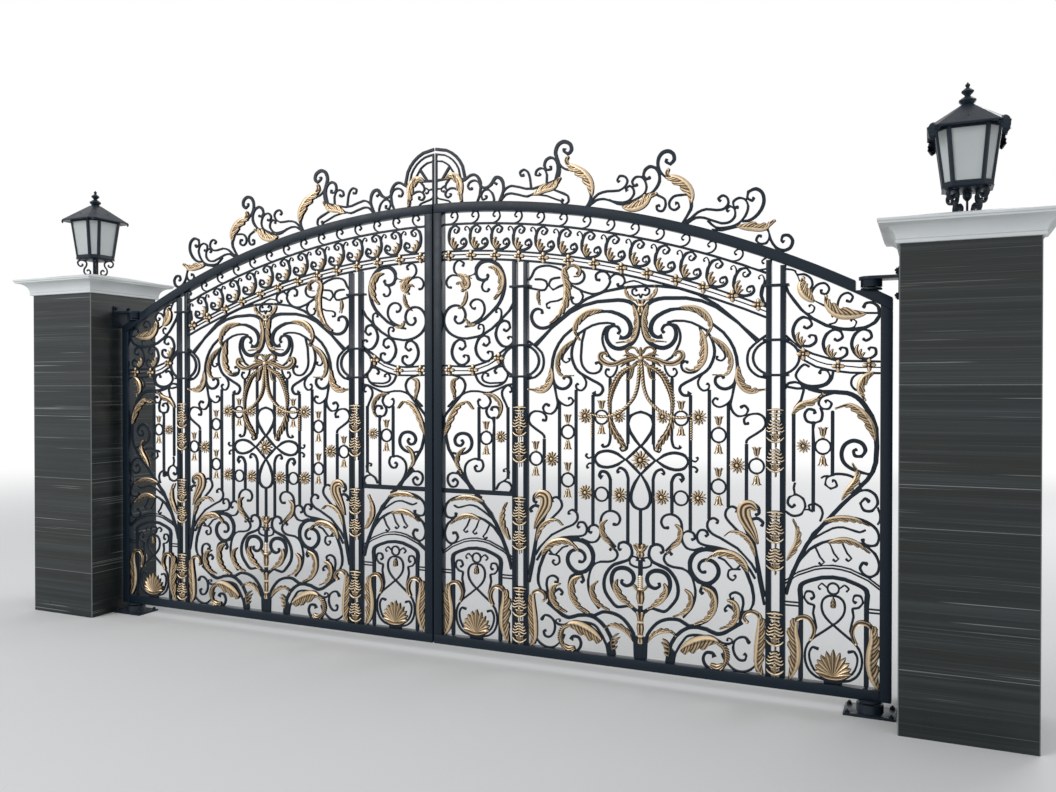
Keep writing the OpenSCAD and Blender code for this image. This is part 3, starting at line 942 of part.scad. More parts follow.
// Bracket on the post and bearing on the ground, which hold the pins
bracket_z = seat_z + seat + plate_t + pin_neck + 1;    // underside of the upper housing
bracket_top = bracket_z + 2.5 * pin_len;               // upper end of the plate on the post
bracket_drop = 60;
anchor_d = 13;
anchor_x = 92;
anchor_y = 62;
anchor_edge = 18;

module hinge_brackets() {
    side = opening_w / 2 - pivot_x - seat;
    r = bearing_d / 2 + flange;
    color(iron) translate([pivot_x, 0, 0]) {
        difference() {
            union() {
                translate([0, 0, bracket_z]) cylinder(d = bearing_d, h = pin_len);
                translate([0, 0, bracket_z + pin_len]) {
                    cylinder(r = r, h = 14);
                    translate([0, -r, 0]) cube([side - plate_t, 2 * r, 14]);
                }
                translate([side - plate_t, -r - 12, bracket_z - bracket_drop])
                    cube([plate_t, 2 * r + 24, bracket_top - bracket_z + bracket_drop]);
            }
            translate([0, 0, bracket_z - 1]) cylinder(d = pin_d + 2 * pin_fit, h = pin_len);
        }
        difference() {
            union() {
                cylinder(d = bearing_d + 3 * flange, h = ground_gap - plate_t - seat - 6);
                translate([-anchor_x - anchor_edge, -anchor_y - anchor_edge, 0])
                    cube([2 * (anchor_x + anchor_edge), 2 * (anchor_y + anchor_edge), 10]);
            }
            for (i = [-1, 1], j = [-1, 1]) translate([i * anchor_x, j * anchor_y, -1]) cylinder(d = anchor_d, h = 12);
            translate([0, 0, ground_gap - plate_t - pin_len - 4])
                cylinder(d = pin_d + 2 * pin_fit, h = pin_len + 8);
        }
    }
}

// Posts, caps and lanterns
post_h = bracket_top + post_over;

module post() {
    color(stone) translate([post_x - post_w / 2, post_back - post_w / 2, 0]) cube([post_w, post_w, post_h]);
}

// Half profile of the cap from its middle outwards: bed mould, cove, corona and slope
module cap_profile() {
    a = post_w / 2;
    difference() {
        polygon([[0, 0], [a + 12, 0], [a + 12, 16], [a + cap_over - 20, 16], [a + cap_over - 20, 62],
            [a + cap_over, 66], [a + cap_over, 98], [a + cap_over - 14, 102], [a * 0.55, cap_h], [0, cap_h]]);
        translate([a + cap_over - 18, 16]) scale([(cap_over - 34) / 46, 1]) circle(r = 46);
    }
}

module cap() {
    color(chalk) translate([post_x, post_back, post_h + seat]) intersection() {
        for_pair() cap_profile();
        rotate(90) for_pair() cap_profile();
    }
}

module for_pair() {
    w = post_w + 2 * cap_over + 20;
    translate([0, w / 2, 0]) rotate([90, 0, 0]) linear_extrude(w) {
        children();
        mirror([1, 0]) children();
    }
}

// Lantern: foot, tapered six sided cage, hipped roof, and a finial of two diamonds
cage_r = lantern_w * 0.40;
cage_foot_r = lantern_w * 0.305;
cage_z = lantern_h * 0.20;
cage_h = lantern_h * 0.44;
roof_h = lantern_h * 0.125;
finial_h = lantern_h * 0.1733;

module lantern_frame() {
    translate([post_x, post_back, post_h + cap_h + 2 * seat]) color(iron) {
        cylinder(r = lantern_w * 0.2, h = 10, $fn = 6);
        translate([0, 0, 10]) cylinder(r = 14, h = cage_z - 20);
        translate([0, 0, cage_z - 22]) cylinder(r1 = 20, r2 = cage_foot_r * 0.8, h = 12, $fn = 6);
        translate([0, 0, cage_z - 10]) cylinder(r = cage_foot_r + 6, h = 10, $fn = 6);
        for (i = [0:5]) rotate(i * 60) hull() {
            translate([cage_foot_r - 2, 0, cage_z - 1]) cylinder(r = 6, h = 1, $fn = 6);
            translate([cage_r - 2, 0, cage_z + cage_h]) cylinder(r = 6, h = 1, $fn = 6);
        }
        translate([0, 0, cage_z + cage_h]) {
            cylinder(r = cage_r + 8, h = 10, $fn = 6);
            translate([0, 0, 10]) cylinder(r = lantern_w / 2, h = 8, $fn = 6);
            translate([0, 0, 18]) cylinder(r1 = lantern_w / 2 - 3, r2 = 28, h = roof_h, $fn = 6);
            translate([0, 0, 17.9 + roof_h]) rotate_extrude() scale([1, finial_h / 104]) polygon([[0, 0], [26, 0],
                [40, 21], [15, 43], [28, 61], [8, 79], [11, 86], [2, 104], [0, 104]]);
        }
    }
}

module lantern_panes() {
    translate([post_x, post_back, post_h + cap_h + 2 * seat + cage_z + seat]) color(frost) difference() {
        cylinder(r1 = cage_foot_r - 9, r2 = cage_r - 9, h = cage_h - 2 * seat, $fn = 6);
        translate([0, 0, -1]) cylinder(r1 = cage_foot_r - 14, r2 = cage_r - 14, h = cage_h + 2, $fn = 6);
    }
}

// The row's origin stands at the middle of the left post's foot
module gate() { translate([post_x, -post_back, 0]) children(); }

gate() {
    on_side(-1) post();  // left_post
    on_side(1) post();  // right_post
    for (s = [-1, 1]) on_side(s) cap();  // post_caps
    on_side(-1) lantern_frame();  // left_lantern
    on_side(1) lantern_frame();  // right_lantern
    for (s = [-1, 1]) on_side(s) lantern_panes();  // lantern_glass
    on_side(-1) hinge_brackets();  // left_hinge_brackets
    on_side(1) hinge_brackets();  // right_hinge_brackets
    for (s = [-1, 1]) on_side(s) {
        hand = s < 0 ? "left_" : "right_";
        hinge_stile();
        meeting_stile();
        bottom_rail();
        top_rail();
        pilaster(inner_pilaster_x, 519, 2000, frieze_end);
        pilaster(outer_pilaster_x, 1834, 1945, tube);
        frieze();
        volutes();
        pickets();
        fountain();
        inner_panel();
        outer_panel();
        cresting();
        leaves();
        flowers();
        husks();
        ribbons();
        pivot_pins();
    }
}
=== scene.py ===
import math

import bmesh
import bpy
import numpy as np
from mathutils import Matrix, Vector
from mathutils.geometry import delaunay_2d_cdt


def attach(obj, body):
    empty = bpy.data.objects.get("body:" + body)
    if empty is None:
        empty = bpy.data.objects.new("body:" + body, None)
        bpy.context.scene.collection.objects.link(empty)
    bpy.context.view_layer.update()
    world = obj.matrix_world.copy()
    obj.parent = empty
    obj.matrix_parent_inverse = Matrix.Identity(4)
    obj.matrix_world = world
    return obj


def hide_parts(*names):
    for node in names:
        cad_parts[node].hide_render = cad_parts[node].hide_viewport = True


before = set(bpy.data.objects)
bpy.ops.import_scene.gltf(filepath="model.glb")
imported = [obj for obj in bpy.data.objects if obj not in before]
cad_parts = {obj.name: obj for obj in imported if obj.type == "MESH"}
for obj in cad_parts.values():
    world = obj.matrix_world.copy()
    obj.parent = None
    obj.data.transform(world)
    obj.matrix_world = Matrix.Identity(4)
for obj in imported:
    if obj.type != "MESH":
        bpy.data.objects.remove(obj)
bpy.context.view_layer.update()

# Camera. The gate was seen from outside, at eye height, a step to the right of
# its seam and turned left towards it.
SEAM_X = 2.637               # middle of the gate, from the middle of the left post
LEAF_Y = -0.025              # middle plane of the leaves
EYE_AT = (5.1358, -4.3522, 1.4669)
EYE_TURN, EYE_DIP = math.radians(24.12), math.radians(0.54)
SENSOR, LENS = 36.0, 30.72


def add_object(name, data):
    """New object in the scene"""
    made = bpy.data.objects.new(name, data)
    bpy.context.collection.objects.link(made)
    return made


eye = add_object("camera", bpy.data.cameras.new("camera"))
eye.data.sensor_width, eye.data.lens, eye.data.clip_end = SENSOR, LENS, 200.0
looking = Vector((-math.sin(EYE_TURN) * math.cos(EYE_DIP), math.cos(EYE_TURN) * math.cos(EYE_DIP),
                  -math.sin(EYE_DIP)))
eye.location = EYE_AT
eye.rotation_euler = looking.to_track_quat("-Z", "Y").to_euler()
scene = bpy.context.scene
scene.camera = eye

# Studio: a pale level floor and an even white surround, with one broad soft lamp from
# the front left, high up, and a weaker one from behind. The far floor fades to white.
FLOOR_FROM, FLOOR_TO = -40, 45
FADE_FROM, FADE_TO = 4.5, 15.0
LAMPS = (("lamp_front", (-2.5, -8.0, 6.5), 420), ("lamp_back", (7.5, 7.0, 6.0), 240))
LAMP_SIZE, LAMPS_AIM = 5.0, (SEAM_X, 0, 1.2)


def new_material(name):
    """Material with its node tree and its Principled shader"""
    made = bpy.data.materials.new(name)
    made.use_nodes = True
    return made, made.node_tree, made.node_tree.nodes["Principled BSDF"]


def new_mesh(name, points, faces, *finish):
    mesh = bpy.data.meshes.new(name)
    mesh.from_pydata(points, [], faces)
    for material in finish:
        mesh.materials.append(material)
    return mesh


def feed(tree, node, inputs):
    """Gives each input of a node a value, or the output that feeds it"""
    for key, value in inputs.items():
        if isinstance(value, bpy.types.NodeSocket):
            tree.links.new(value, node.inputs[key])
        else:
            node.inputs[key].default_value = value


def add_node(tree, kind, inputs=None, **settings):
    """New node with its settings, and with what feeds its inputs"""
    made = tree.nodes.new(kind)
    for key, value in settings.items():
        setattr(made, key, value)
    feed(tree, made, inputs or {})
    return made


def maths(tree, operation, *values, clamp=False):
    inputs = dict(enumerate(values))
    return add_node(tree, "ShaderNodeMath", inputs, operation=operation, use_clamp=clamp).outputs[0]


def camera_sees(tree):
    """1 where the camera sees a thing directly, in a mirror or through glass"""
    path = add_node(tree, "ShaderNodeLightPath").outputs
    either = maths(tree, "MAXIMUM", path["Is Camera Ray"], path["Is Glossy Ray"])
    return maths(tree, "MAXIMUM", either, path["Is Transmission Ray"])


def ramp(tree, value, low, high):
    """0 up to low and 1 from high on, smooth between them"""
    inputs = {"Value": value, "From Min": low, "From Max": high}
    return add_node(tree, "ShaderNodeMapRange", inputs, interpolation_type="SMOOTHSTEP").outputs[0]


pale, tree, shader = new_material("pale_floor")
feed(tree, shader, {"Base Color": (0.78, 0.78, 0.77, 1), "Roughness": 0.9, "Specular IOR Level": 0.1})
where = add_node(tree, "ShaderNodeTexCoord").outputs["Object"]
far = add_node(tree, "ShaderNodeVectorMath", {0: where, 1: (SEAM_X, 0, 0)}, operation="DISTANCE")
seen = maths(tree, "MULTIPLY", ramp(tree, far.outputs["Value"], FADE_FROM, FADE_TO), camera_sees(tree))
glow = add_node(tree, "ShaderNodeEmission")
either = add_node(tree, "ShaderNodeMixShader", {0: seen, 1: shader.outputs[0], 2: glow.outputs[0]})
feed(tree, tree.nodes["Material Output"], {"Surface": either.outputs[0]})
corners = [(x, y, 0) for y in (FLOOR_FROM, FLOOR_TO) for x in (FLOOR_FROM, FLOOR_TO)]
floor = add_object("floor", new_mesh("floor", corners, [(0, 1, 3, 2)], pale))

scene.view_settings.view_transform = "Standard"
scene.world = bpy.data.worlds.new("surround")
scene.world.use_nodes = True
tree = scene.world.node_tree
light = tree.nodes["Background"]
feed(tree, light, {"Color": (0.93, 0.96, 1.0, 1), "Strength": 0.62})
white = add_node(tree, "ShaderNodeBackground", {"Color": (1, 1, 1, 1), "Strength": 1.0})
inputs = {0: camera_sees(tree), 1: light.outputs[0], 2: white.outputs[0]}
either = add_node(tree, "ShaderNodeMixShader", inputs)
feed(tree, tree.nodes["World Output"], {"Surface": either.outputs[0]})

for name, at, power in LAMPS:
    lamp = add_object(name, bpy.data.lights.new(name, "AREA"))
    lamp.data.size, lamp.data.energy = LAMP_SIZE, power
    lamp.location = at
    lamp.rotation_euler = (Vector(LAMPS_AIM) - Vector(at)).to_track_quat("-Z", "Y").to_euler()

# Iron paint, on everything that was forged or welded: blue black satin enamel
# sprayed over steel, a little uneven, with dust on what faces up.
def new_group(name, kind, sockets):
    """Node group with its sockets, given as name, kind and default, and the nodes for its two ends"""
    made = bpy.data.node_groups.new(name, kind)
    for title, holds, *default in sockets:
        way = "OUTPUT" if default == ["out"] else "INPUT"
        socket = made.interface.new_socket(name=title, in_out=way, socket_type=f"NodeSocket{holds}")
        if default and way == "INPUT":
            socket.default_value = default[0]
    return made, made.nodes.new("NodeGroupInput").outputs, made.nodes.new("NodeGroupOutput")


# Dust: how much of it lies on a point, by how far the surface faces up and by patches
dust, given, gives = new_group("dust", "ShaderNodeTree", (
    ("Amount", "Float", 0.3), ("Patch Scale", "Float", 9.0), ("Mask", "Float", "out")))
where = add_node(dust, "ShaderNodeTexCoord").outputs["Object"]
facing = add_node(dust, "ShaderNodeNewGeometry").outputs["Normal"]
split = add_node(dust, "ShaderNodeSeparateXYZ", {0: facing})
inputs = {"Vector": where, "Scale": given["Patch Scale"], "Detail": 5.0}
patches = add_node(dust, "ShaderNodeTexNoise", inputs)
lying = maths(dust, "MULTIPLY_ADD", ramp(dust, split.outputs["Z"], 0.25, 0.95),
              ramp(dust, patches.outputs["Fac"], 0.35, 0.72), 0.12)
feed(dust, gives, {"Mask": maths(dust, "MULTIPLY", lying, given["Amount"])})


def blend_colours(tree, mask, a, b):
    """Colour a where the mask is 0, b where it is 1; each is a colour or a socket"""
    a, b = ((*value, 1) if isinstance(value, tuple) else value for value in (a, b))
    inputs = {"Factor": mask, "A": a, "B": b}
    return add_node(tree, "ShaderNodeMix", inputs, data_type="RGBA").outputs["Result"]


def dusted(tree, colour, dirt, amount, patch_scale):
    """A colour with dust or dirt lying on it"""
    inputs = {"Amount": amount, "Patch Scale": patch_scale}
    lying = add_node(tree, "ShaderNodeGroup", inputs, node_tree=dust).outputs["Mask"]
    return blend_colours(tree, lying, colour, dirt)


def noise_at(tree, scale, detail=4.0, stretch=(1, 1, 1)):
    """Noise over the piece's own coordinates"""
    where = add_node(tree, "ShaderNodeTexCoord").outputs["Object"]
    drawn = add_node(tree, "ShaderNodeMapping", {"Vector": where, "Scale": stretch}).outputs[0]
    inputs = {"Vector": drawn, "Scale": scale, "Detail": detail}
    return add_node(tree, "ShaderNodeTexNoise", inputs).outputs["Fac"]


def bumped(tree, height, strength, distance=0.001):
    inputs = {"Height": height, "Strength": strength, "Distance": distance}
    return add_node(tree, "ShaderNodeBump", inputs).outputs[0]


def spread(tree, noise, low, high):
    """Noise stretched to a range"""
    inputs = {"Value": noise, "From Min": 0.3, "From Max": 0.7, "To Min": low, "To Max": high}
    return add_node(tree, "ShaderNodeMapRange", inputs).outputs[0]


iron_paint, tree, shader = new_material("iron_paint")
enamel = blend_colours(tree, noise_at(tree, 3.5), (0.0044, 0.0120, 0.0225), (0.0072, 0.0165, 0.0290))
feed(tree, shader, {
    "Base Color": dusted(tree, enamel, (0.16, 0.155, 0.14), 0.15, 8.0),
    "Roughness": spread(tree, noise_at(tree, 14.0), 0.30, 0.44), "Specular IOR Level": 0.24,
    "Normal": bumped(tree, noise_at(tree, 260.0, 2.0), 0.12)})

# Scrollwork: flat bar bent cold over a jig, welded where two bars meet, and
# dressed with a file so that its edges are eased.
HANDS = (("left", -1), ("right", 1))
SCROLLS = ("frieze", "volutes", "pickets", "fountain", "inner_panel", "outer_panel", "cresting")
BAR_DEPTH = 0.014
EASED_EDGE = 0.0022
# A bar's cut end: two corners of at least the one turn, the other turn together, no further apart than this
CORNER_TURN, END_TURN, END_WIDTH = math.radians(30), math.radians(135), 0.024
# Corners that stay sharp: over the first turn, over the second between two long runs, or over the
# third where one run is so many times as long as the other
SHARP, SHARP_IF_LONG, SHARP_IF_UNEVEN = (math.radians(turn) for turn in (80, 62, 34))
LONG_RUN, UNEVEN = 0.034, 3.2
SHORTEST_RUN, STRAIGHT_RUN = 0.0009, 0.11
STEP_TURN, MOST_STEPS = math.radians(10), 6
WELD = 2e-5                  # corners nearer than this are one


def front_loops(node):
    """Closed outlines of a flat node's front face, as arrays of x and z"""
    mesh = node.data
    mesh.calc_loop_triangles()
    at = np.array([v.co for v in mesh.vertices], float)
    tris = np.array([t.vertices for t in mesh.loop_triangles], int)
    tris = tris[(np.abs(at[tris, 1] - at[:, 1].min()) < 1e-5).all(1)]
    spots, edges = {}, set()
    for tri in tris:
        a, b, c = (spots.setdefault((round(at[v, 0], 5), round(at[v, 2], 5)), len(spots)) for v in tri)
        for p, q in ((a, b), (b, c), (c, a)):
            if (q, p) in edges:
                edges.discard((q, p))
            elif p != q:
                edges.add((p, q))
    places, after = list(spots), {}
    for p, q in edges:
        after.setdefault(p, []).append(q)
    loops = []
    while after:
        loop, here = [], next(iter(after))
        while here in after:
            loop.append(here)
            ways = after[here]
            there = ways.pop()
            if not ways:
                del after[here]
            here = there
        if len(loop) > 2:
            loops.append(np.array([places[k] for k in loop]))
    return loops


def gap(a, b):
    return float(np.hypot(*(b - a)))


def bend_of(a, b, c):
    """Turn to the left at a point"""
    u, v = b - a, c - b
    return math.atan2(u[0] * v[1] - u[1] * v[0], u @ v)


def through(p0, p1, p2, p3, t):
    """Point on the smooth curve through four points, between the middle two"""
    k0, k1, k2 = (max(1e-4, gap(a, b)) ** 0.5 for a, b in ((p0, p1), (p1, p2), (p2, p3)))
    a, b, c, d = 0.0, k0, k0 + k1, k0 + k1 + k2
    u = b + (c - b) * t

    def mix(p, q, s, e):
        return p * (e - u) / (e - s) + q * (u - s) / (e - s)
    m, n, o = mix(p0, p1, a, b), mix(p1, p2, b, c), mix(p2, p3, c, d)
    return mix(mix(m, n, a, c), mix(n, o, b, d), b, c)


def is_end(a, p, q, b):
    """Whether the side from p to q is a bar's cut end"""
    turns = bend_of(a, p, q), bend_of(p, q, b)
    return min(turns) > CORNER_TURN and sum(turns) > END_TURN and gap(p, q) < END_WIDTH


def rounded_ends(loop):
    """Outline with the two corners of each bar end made into one round nose"""
    n = len(loop)
    made, i = [], 0
    while i < n:
        a, p, q, b = loop[i - 1], loop[i], loop[(i + 1) % n], loop[(i + 2) % n]
        if i < n - 1 and is_end(a, p, q, b):
            reach, m = gap(p, q) / 2, (p + q) / 2
            a, b = (r + (c - r) * min(0.45, reach / max(1e-6, gap(r, c))) for r, c in ((p, a), (q, b)))
            for e, f, g in ((a, p, m), (m, q, b)):
                made += [e * (1 - t) ** 2 + 2 * f * t * (1 - t) + g * t * t for t in (0, 0.3, 0.65)]
            made.append(b)
            i += 2
        else:
            made.append(p)
            i += 1
    return made


def eased(loop):
    """Outline with its bends made round, and its true corners kept"""
    kept = [p for i, p in enumerate(loop) if gap(loop[i - 1], p) > SHORTEST_RUN]
    if len(kept) > 5:
        kept = rounded_ends(kept)
    n = len(kept)
    if n < 3:
        return None
    turns = [abs(bend_of(kept[i - 1], kept[i], kept[(i + 1) % n])) for i in range(n)]
    runs = [gap(kept[i], kept[(i + 1) % n]) for i in range(n)]

    def stays(i):
        short, long = sorted((runs[i], runs[i - 1]))
        return (turns[i] > SHARP or (turns[i] > SHARP_IF_LONG and short > LONG_RUN)
                or (turns[i] > SHARP_IF_UNEVEN and long > UNEVEN * short))
    sharp = [stays(i) for i in range(n)]
    made = []
    for i in range(n):
        j = (i + 1) % n
        p1, p2 = kept[i], kept[j]
        made.append(p1)
        bend = (0 if sharp[i] else turns[i]) + (0 if sharp[j] else turns[j])
        steps = min(MOST_STEPS, round(bend / 2 / STEP_TURN))
        if runs[i] <= STRAIGHT_RUN:
            p0 = 2 * p1 - p2 if sharp[i] else kept[i - 1]
            p3 = 2 * p2 - p1 if sharp[j] else kept[(j + 1) % n]
            made += [through(p0, p1, p2, p3, k / steps) for k in range(1, steps)]
    return made


def drawn_in(loop, by):
    """Outline drawn in by a distance on the side of the metal"""
    made = []
    n = len(loop)
    for i in range(n):
        a, b, c = loop[i - 1], loop[i], loop[(i + 1) % n]
        u, v = (b - a) / max(1e-9, gap(a, b)), (c - b) / max(1e-9, gap(b, c))
        left = np.array((-u[1] - v[1], u[0] + v[0]))
        size = np.hypot(*left)
        if size < 1e-6:
            made.append(b)
            continue
        left /= size
        made.append(b + left * by / max(0.5, -u[1] * left[0] + u[0] * left[1]))
    return made


def in_metal(flat, cells, rims, lines):
    """The triangles that outlines wind round, which run with the metal on their left"""
    mid = flat[cells].mean(1)
    wound = np.zeros(len(mid), int)
    for (x0, y0), (x1, y1) in zip(rims[lines[:, 0]], rims[lines[:, 1]]):
        if y0 == y1:
            continue
        low, high, sign = (y0, y1, 1) if y1 > y0 else (y1, y0, -1)
        near = (mid[:, 1] >= low) & (mid[:, 1] < high)
        cross = x0 + (mid[near, 1] - y0) * (x1 - x0) / (y1 - y0)
        wound[near] += sign * (cross > mid[near, 0])
    return [tuple(map(int, cell)) for cell in cells[wound > 0]]


def tapered(line, wide, narrow):
    """Closed outline of a bar that tapers along a line"""
    n = len(line) - 1
    right, left = [], []
    for i, p in enumerate(line):
        t = line[min(n, i + 1)] - line[max(0, i - 1)]
        out = np.array((t[1], -t[0])) / np.hypot(*t) * (wide + (narrow - wide) * i / n) / 2
        right.append(p + out)
        left.append(p - out)
    return right + left[::-1]


def skin(points, faces, rings, closed=True):
    """Adds a solid that passes through rings of points"""
    first, n = len(points), len(rings[0])
    for ring in rings:
        points += ring
    for start in range(first, first + (len(rings) - 1) * n, n):
        for k in range(n):
            a, b = start + k, start + (k + 1) % n
            faces.append((a, b, b + n, a + n))
    if closed:
        faces += [tuple(range(first, first + n))[::-1], tuple(range(len(points) - n, len(points)))]


def forged(name, node, added):
    """Solid of a bar's depth in the node's outline and any added ones, with eased edges"""
    points, faces, rims, lines = [], [], [], []
    half = BAR_DEPTH / 2
    for outer in [eased(loop) for loop in front_loops(node)] + added:
        if not outer:
            continue
        inner, n = drawn_in(outer, EASED_EDGE), len(outer)
        levels = ((inner, -half), (outer, EASED_EDGE - half), (outer, half - EASED_EDGE), (inner, half))
        skin(points, faces, [[(p[0], LEAF_Y + y, p[1]) for p in ring] for ring, y in levels], closed=False)
        start = len(rims)
        rims += [Vector((p[0] * 1000, p[1] * 1000)) for p in inner]
        lines += [(start + i, start + (i + 1) % n) for i in range(n)]
    flat, _, cells, *_ = delaunay_2d_cdt(rims, lines, [], 0, 1e-4)
    cells = in_metal(*(np.array(given) for given in (flat, cells, rims, lines)))
    for y, turned in ((-half, False), (half, True)):
        first = len(points)
        points += [(p.x / 1000, LEAF_Y + y, p.y / 1000) for p in flat]
        faces += [tuple(first + k for k in (cell[::-1] if turned else cell)) for cell in cells]
    return new_mesh(name, points, faces, iron_paint)


def face_out(mesh):
    """Turns all faces outward"""
    shaped = bmesh.new()
    shaped.from_mesh(mesh)
    bmesh.ops.recalc_face_normals(shaped, faces=shaped.faces)
    shaped.to_mesh(mesh)
    shaped.free()


def smooth_below(mesh, degrees, weld=WELD):
    """Smooth shading, with the edges over an angle kept sharp"""
    shaped = bmesh.new()
    shaped.from_mesh(mesh)
    if weld:
        bmesh.ops.remove_doubles(shaped, verts=shaped.verts, dist=weld)
    for face in shaped.faces:
        face.smooth = True
    for edge in shaped.edges:
        edge.smooth = len(edge.link_faces) == 2 and edge.calc_face_angle(0) < math.radians(degrees)
    shaped.to_mesh(mesh)
    shaped.free()


# The inner turns of every scroll of the frieze, which roll on from its two curls
DRAWN_CROWN, DRAWN_R = 2473, 4820
FRIEZE_FROM, FRIEZE_TO, FRIEZE_COUNT, FRIEZE_BASE = 54.0, 1834.0, 14, 256
TURN_BAR, TURN_TIP = 0.0092, 0.0060
INNER_TURNS = ([(8, 110), (3, 98), (-8, 92), (-18, 97), (-20, 108), (-11, 115)],
               [(36, 60), (26, 53), (22, 42), (27, 32), (38, 31), (43, 40)])


def under_arch(x, below):
    """Height of the arc that runs a distance under the arch, which is drawn with its crown at x = 0"""
    return DRAWN_CROWN - DRAWN_R + math.sqrt((DRAWN_R - below) ** 2 - x * x)


# Foot of each scroll of the frieze: place, height and lean
pitch = (FRIEZE_TO - FRIEZE_FROM) / FRIEZE_COUNT
frieze_feet = [(x, under_arch(x, FRIEZE_BASE), math.asin(x / DRAWN_R)) for x in
               (FRIEZE_FROM + pitch * (i + 0.66) for i in range(FRIEZE_COUNT - 1))]


def fine_line(points, steps):
    """Points on the smooth curve through the given ones, so many from each to the next"""
    q = [np.array(p, float) for p in points]
    q = [2 * q[0] - q[1]] + q + [2 * q[-1] - q[-2]]
    return [through(*q[i:i + 4], k / steps) for i in range(len(q) - 3) for k in range(steps)] + [q[-2]]


def inner_turns(side):
    made = []
    for x, z, lean in frieze_feet:
        c, s = math.cos(lean), math.sin(lean)
        for turn in INNER_TURNS:
            line = [(SEAM_X + side * (x + c * u + s * v) / 1000, (z - s * u + c * v) / 1000) for u, v in turn]
            made.append(tapered(fine_line(line, 3), TURN_BAR, TURN_TIP))
    return made


for hand, side in HANDS:
    for part in SCROLLS:
        node = f"{hand}_{part}"
        added = inner_turns(side) if part == "frieze" else []
        piece = add_object(f"{node}_forged", forged(f"{node}_forged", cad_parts[node], added))
        smooth_below(piece.data, 50)
        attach(piece, f"{hand}_leaf")
        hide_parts(node)

# Gilt castings: acanthus leaves of cast iron, screwed to the front and back of the
# bars and painted antique gold, with a painted highlight on the ridges, and a dark tone
# in the hollows that is partly patina and partly painted shade.
# Colour of the painted highlight on the ridges, and a near black for the hollows that is partly patina and
# partly painted shade
PAINTED_HIGHLIGHT, DARK_PATINA_AND_SHADE = (0.95, 0.86, 0.68), (0.046, 0.025, 0.014)
FACE = BAR_DEPTH / 2 + 0.0001                   # back of a casting, from the middle of the bars
gilding, tree, shader = new_material("antique_gold")
patina_and_shade = add_node(tree, "ShaderNodeAttribute", attribute_name="patina_and_shade").outputs["Fac"]
uneven = noise_at(tree, 55.0, 5.0)
gold = blend_colours(tree, uneven, (0.62, 0.43, 0.24), (0.85, 0.665, 0.44))
# Ridges get the painted highlight; hollows, creases, undersides and the sides of beads and cords darken
# towards the near black, partly patina and partly painted shade
highlight_mask = maths(tree, "MULTIPLY_ADD", patina_and_shade, -5.0, 0.55, clamp=True)
deep = maths(tree, "MULTIPLY_ADD", patina_and_shade, 1.75, -0.13, clamp=True)
gilt_with_light_and_shade = blend_colours(tree, deep, blend_colours(tree, highlight_mask, gold, PAINTED_HIGHLIGHT), DARK_PATINA_AND_SHADE)
feed(tree, shader, {
    "Base Color": dusted(tree, gilt_with_light_and_shade, (0.30, 0.27, 0.22), 0.22, 11.0), "Metallic": 0.72,
    "Roughness": spread(tree, uneven, 0.28, 0.44), "Normal": bumped(tree, noise_at(tree, 420.0, 3.0), 0.25)})


def gilt_mesh(name, points, casting):
    """Mesh of a casting, with the depth of its hollows on its points, which darkens its gilt with patina and
    painted shade and leaves a painted highlight on its ridges
    """
    mesh = new_mesh(name, points, casting.faces, gilding)
    mesh.attributes.new("patina_and_shade", "FLOAT", "POINT").data.foreach_set("value", casting.patina_and_shade)
    face_out(mesh)
    return mesh


class Casting:
    """Points, faces and depth of hollow of a group of castings, in mm: x, z and height over the bar. The
    depth of hollow darkens the gilt with patina and painted shade, and where it is 0 the gilt gets a painted
    highlight
    """

    def __init__(self):
        self.points, self.faces, self.patina_and_shade = [], [], []

    def grid(self, rows, low):
        """A sheet of rows of points, closed by a flat back"""
        n, m, first = len(rows), len(rows[0]), len(self.points)
        for row, dip in zip(rows, low):
            self.points += row
            self.patina_and_shade += dip
        for i in range(n - 1):
            for j in range(m - 1):
                a = first + i * m + j
                self.faces.append((a, a + 1, a + m + 1, a + m))
        back = len(self.points)
        for row in rows:
            self.points += [(row[0][0], row[0][1], 0.0), (row[-1][0], row[-1][1], 0.0)]
            # The sides down to the bar are darkened, partly patina and partly painted shade where the casting
            # meets the bar
            self.patina_and_shade += [0.9, 0.9]
        for i in range(n - 1):
            a, b = first + i * m, back + 2 * i
            self.faces += [(a, a + m, b + 2, b), (a + m - 1, b + 1, b + 3, a + 2 * m - 1),
                           (b, b + 2, b + 3, b + 1)]
        for i, turned in ((0, False), (n - 1, True)):
            rim = [first + i * m + j for j in range(m)] + [back + 2 * i + 1, back + 2 * i]
            self.faces.append(tuple(rim[::-1] if turned else rim))

    def on_leaf(self, name, side):
        """The castings on the front of a leaf, and the same on its back, as one object"""
        both, points = Casting(), []
        for facing in (-1, 1):
            first, order = len(points), side * facing
            points += [(SEAM_X + side * x / 1000, LEAF_Y + facing * (FACE + h / 1000), z / 1000)
                       for x, z, h in self.points]
            both.patina_and_shade += self.patina_and_shade
            both.faces += [tuple(first + k for k in face[::order]) for face in self.faces]
        made = add_object(name, gilt_mesh(name, points, both))
        smooth_below(made.data, 50, weld=0)
        return made


def square_to(t):
    return np.array((-t[1], t[0]))


def net_bend(ways):
    """Over 0 where a line bends to the left from end to end"""
    return sum(a[0] * b[1] - a[1] * b[0] for a, b in zip(ways, ways[1:]))


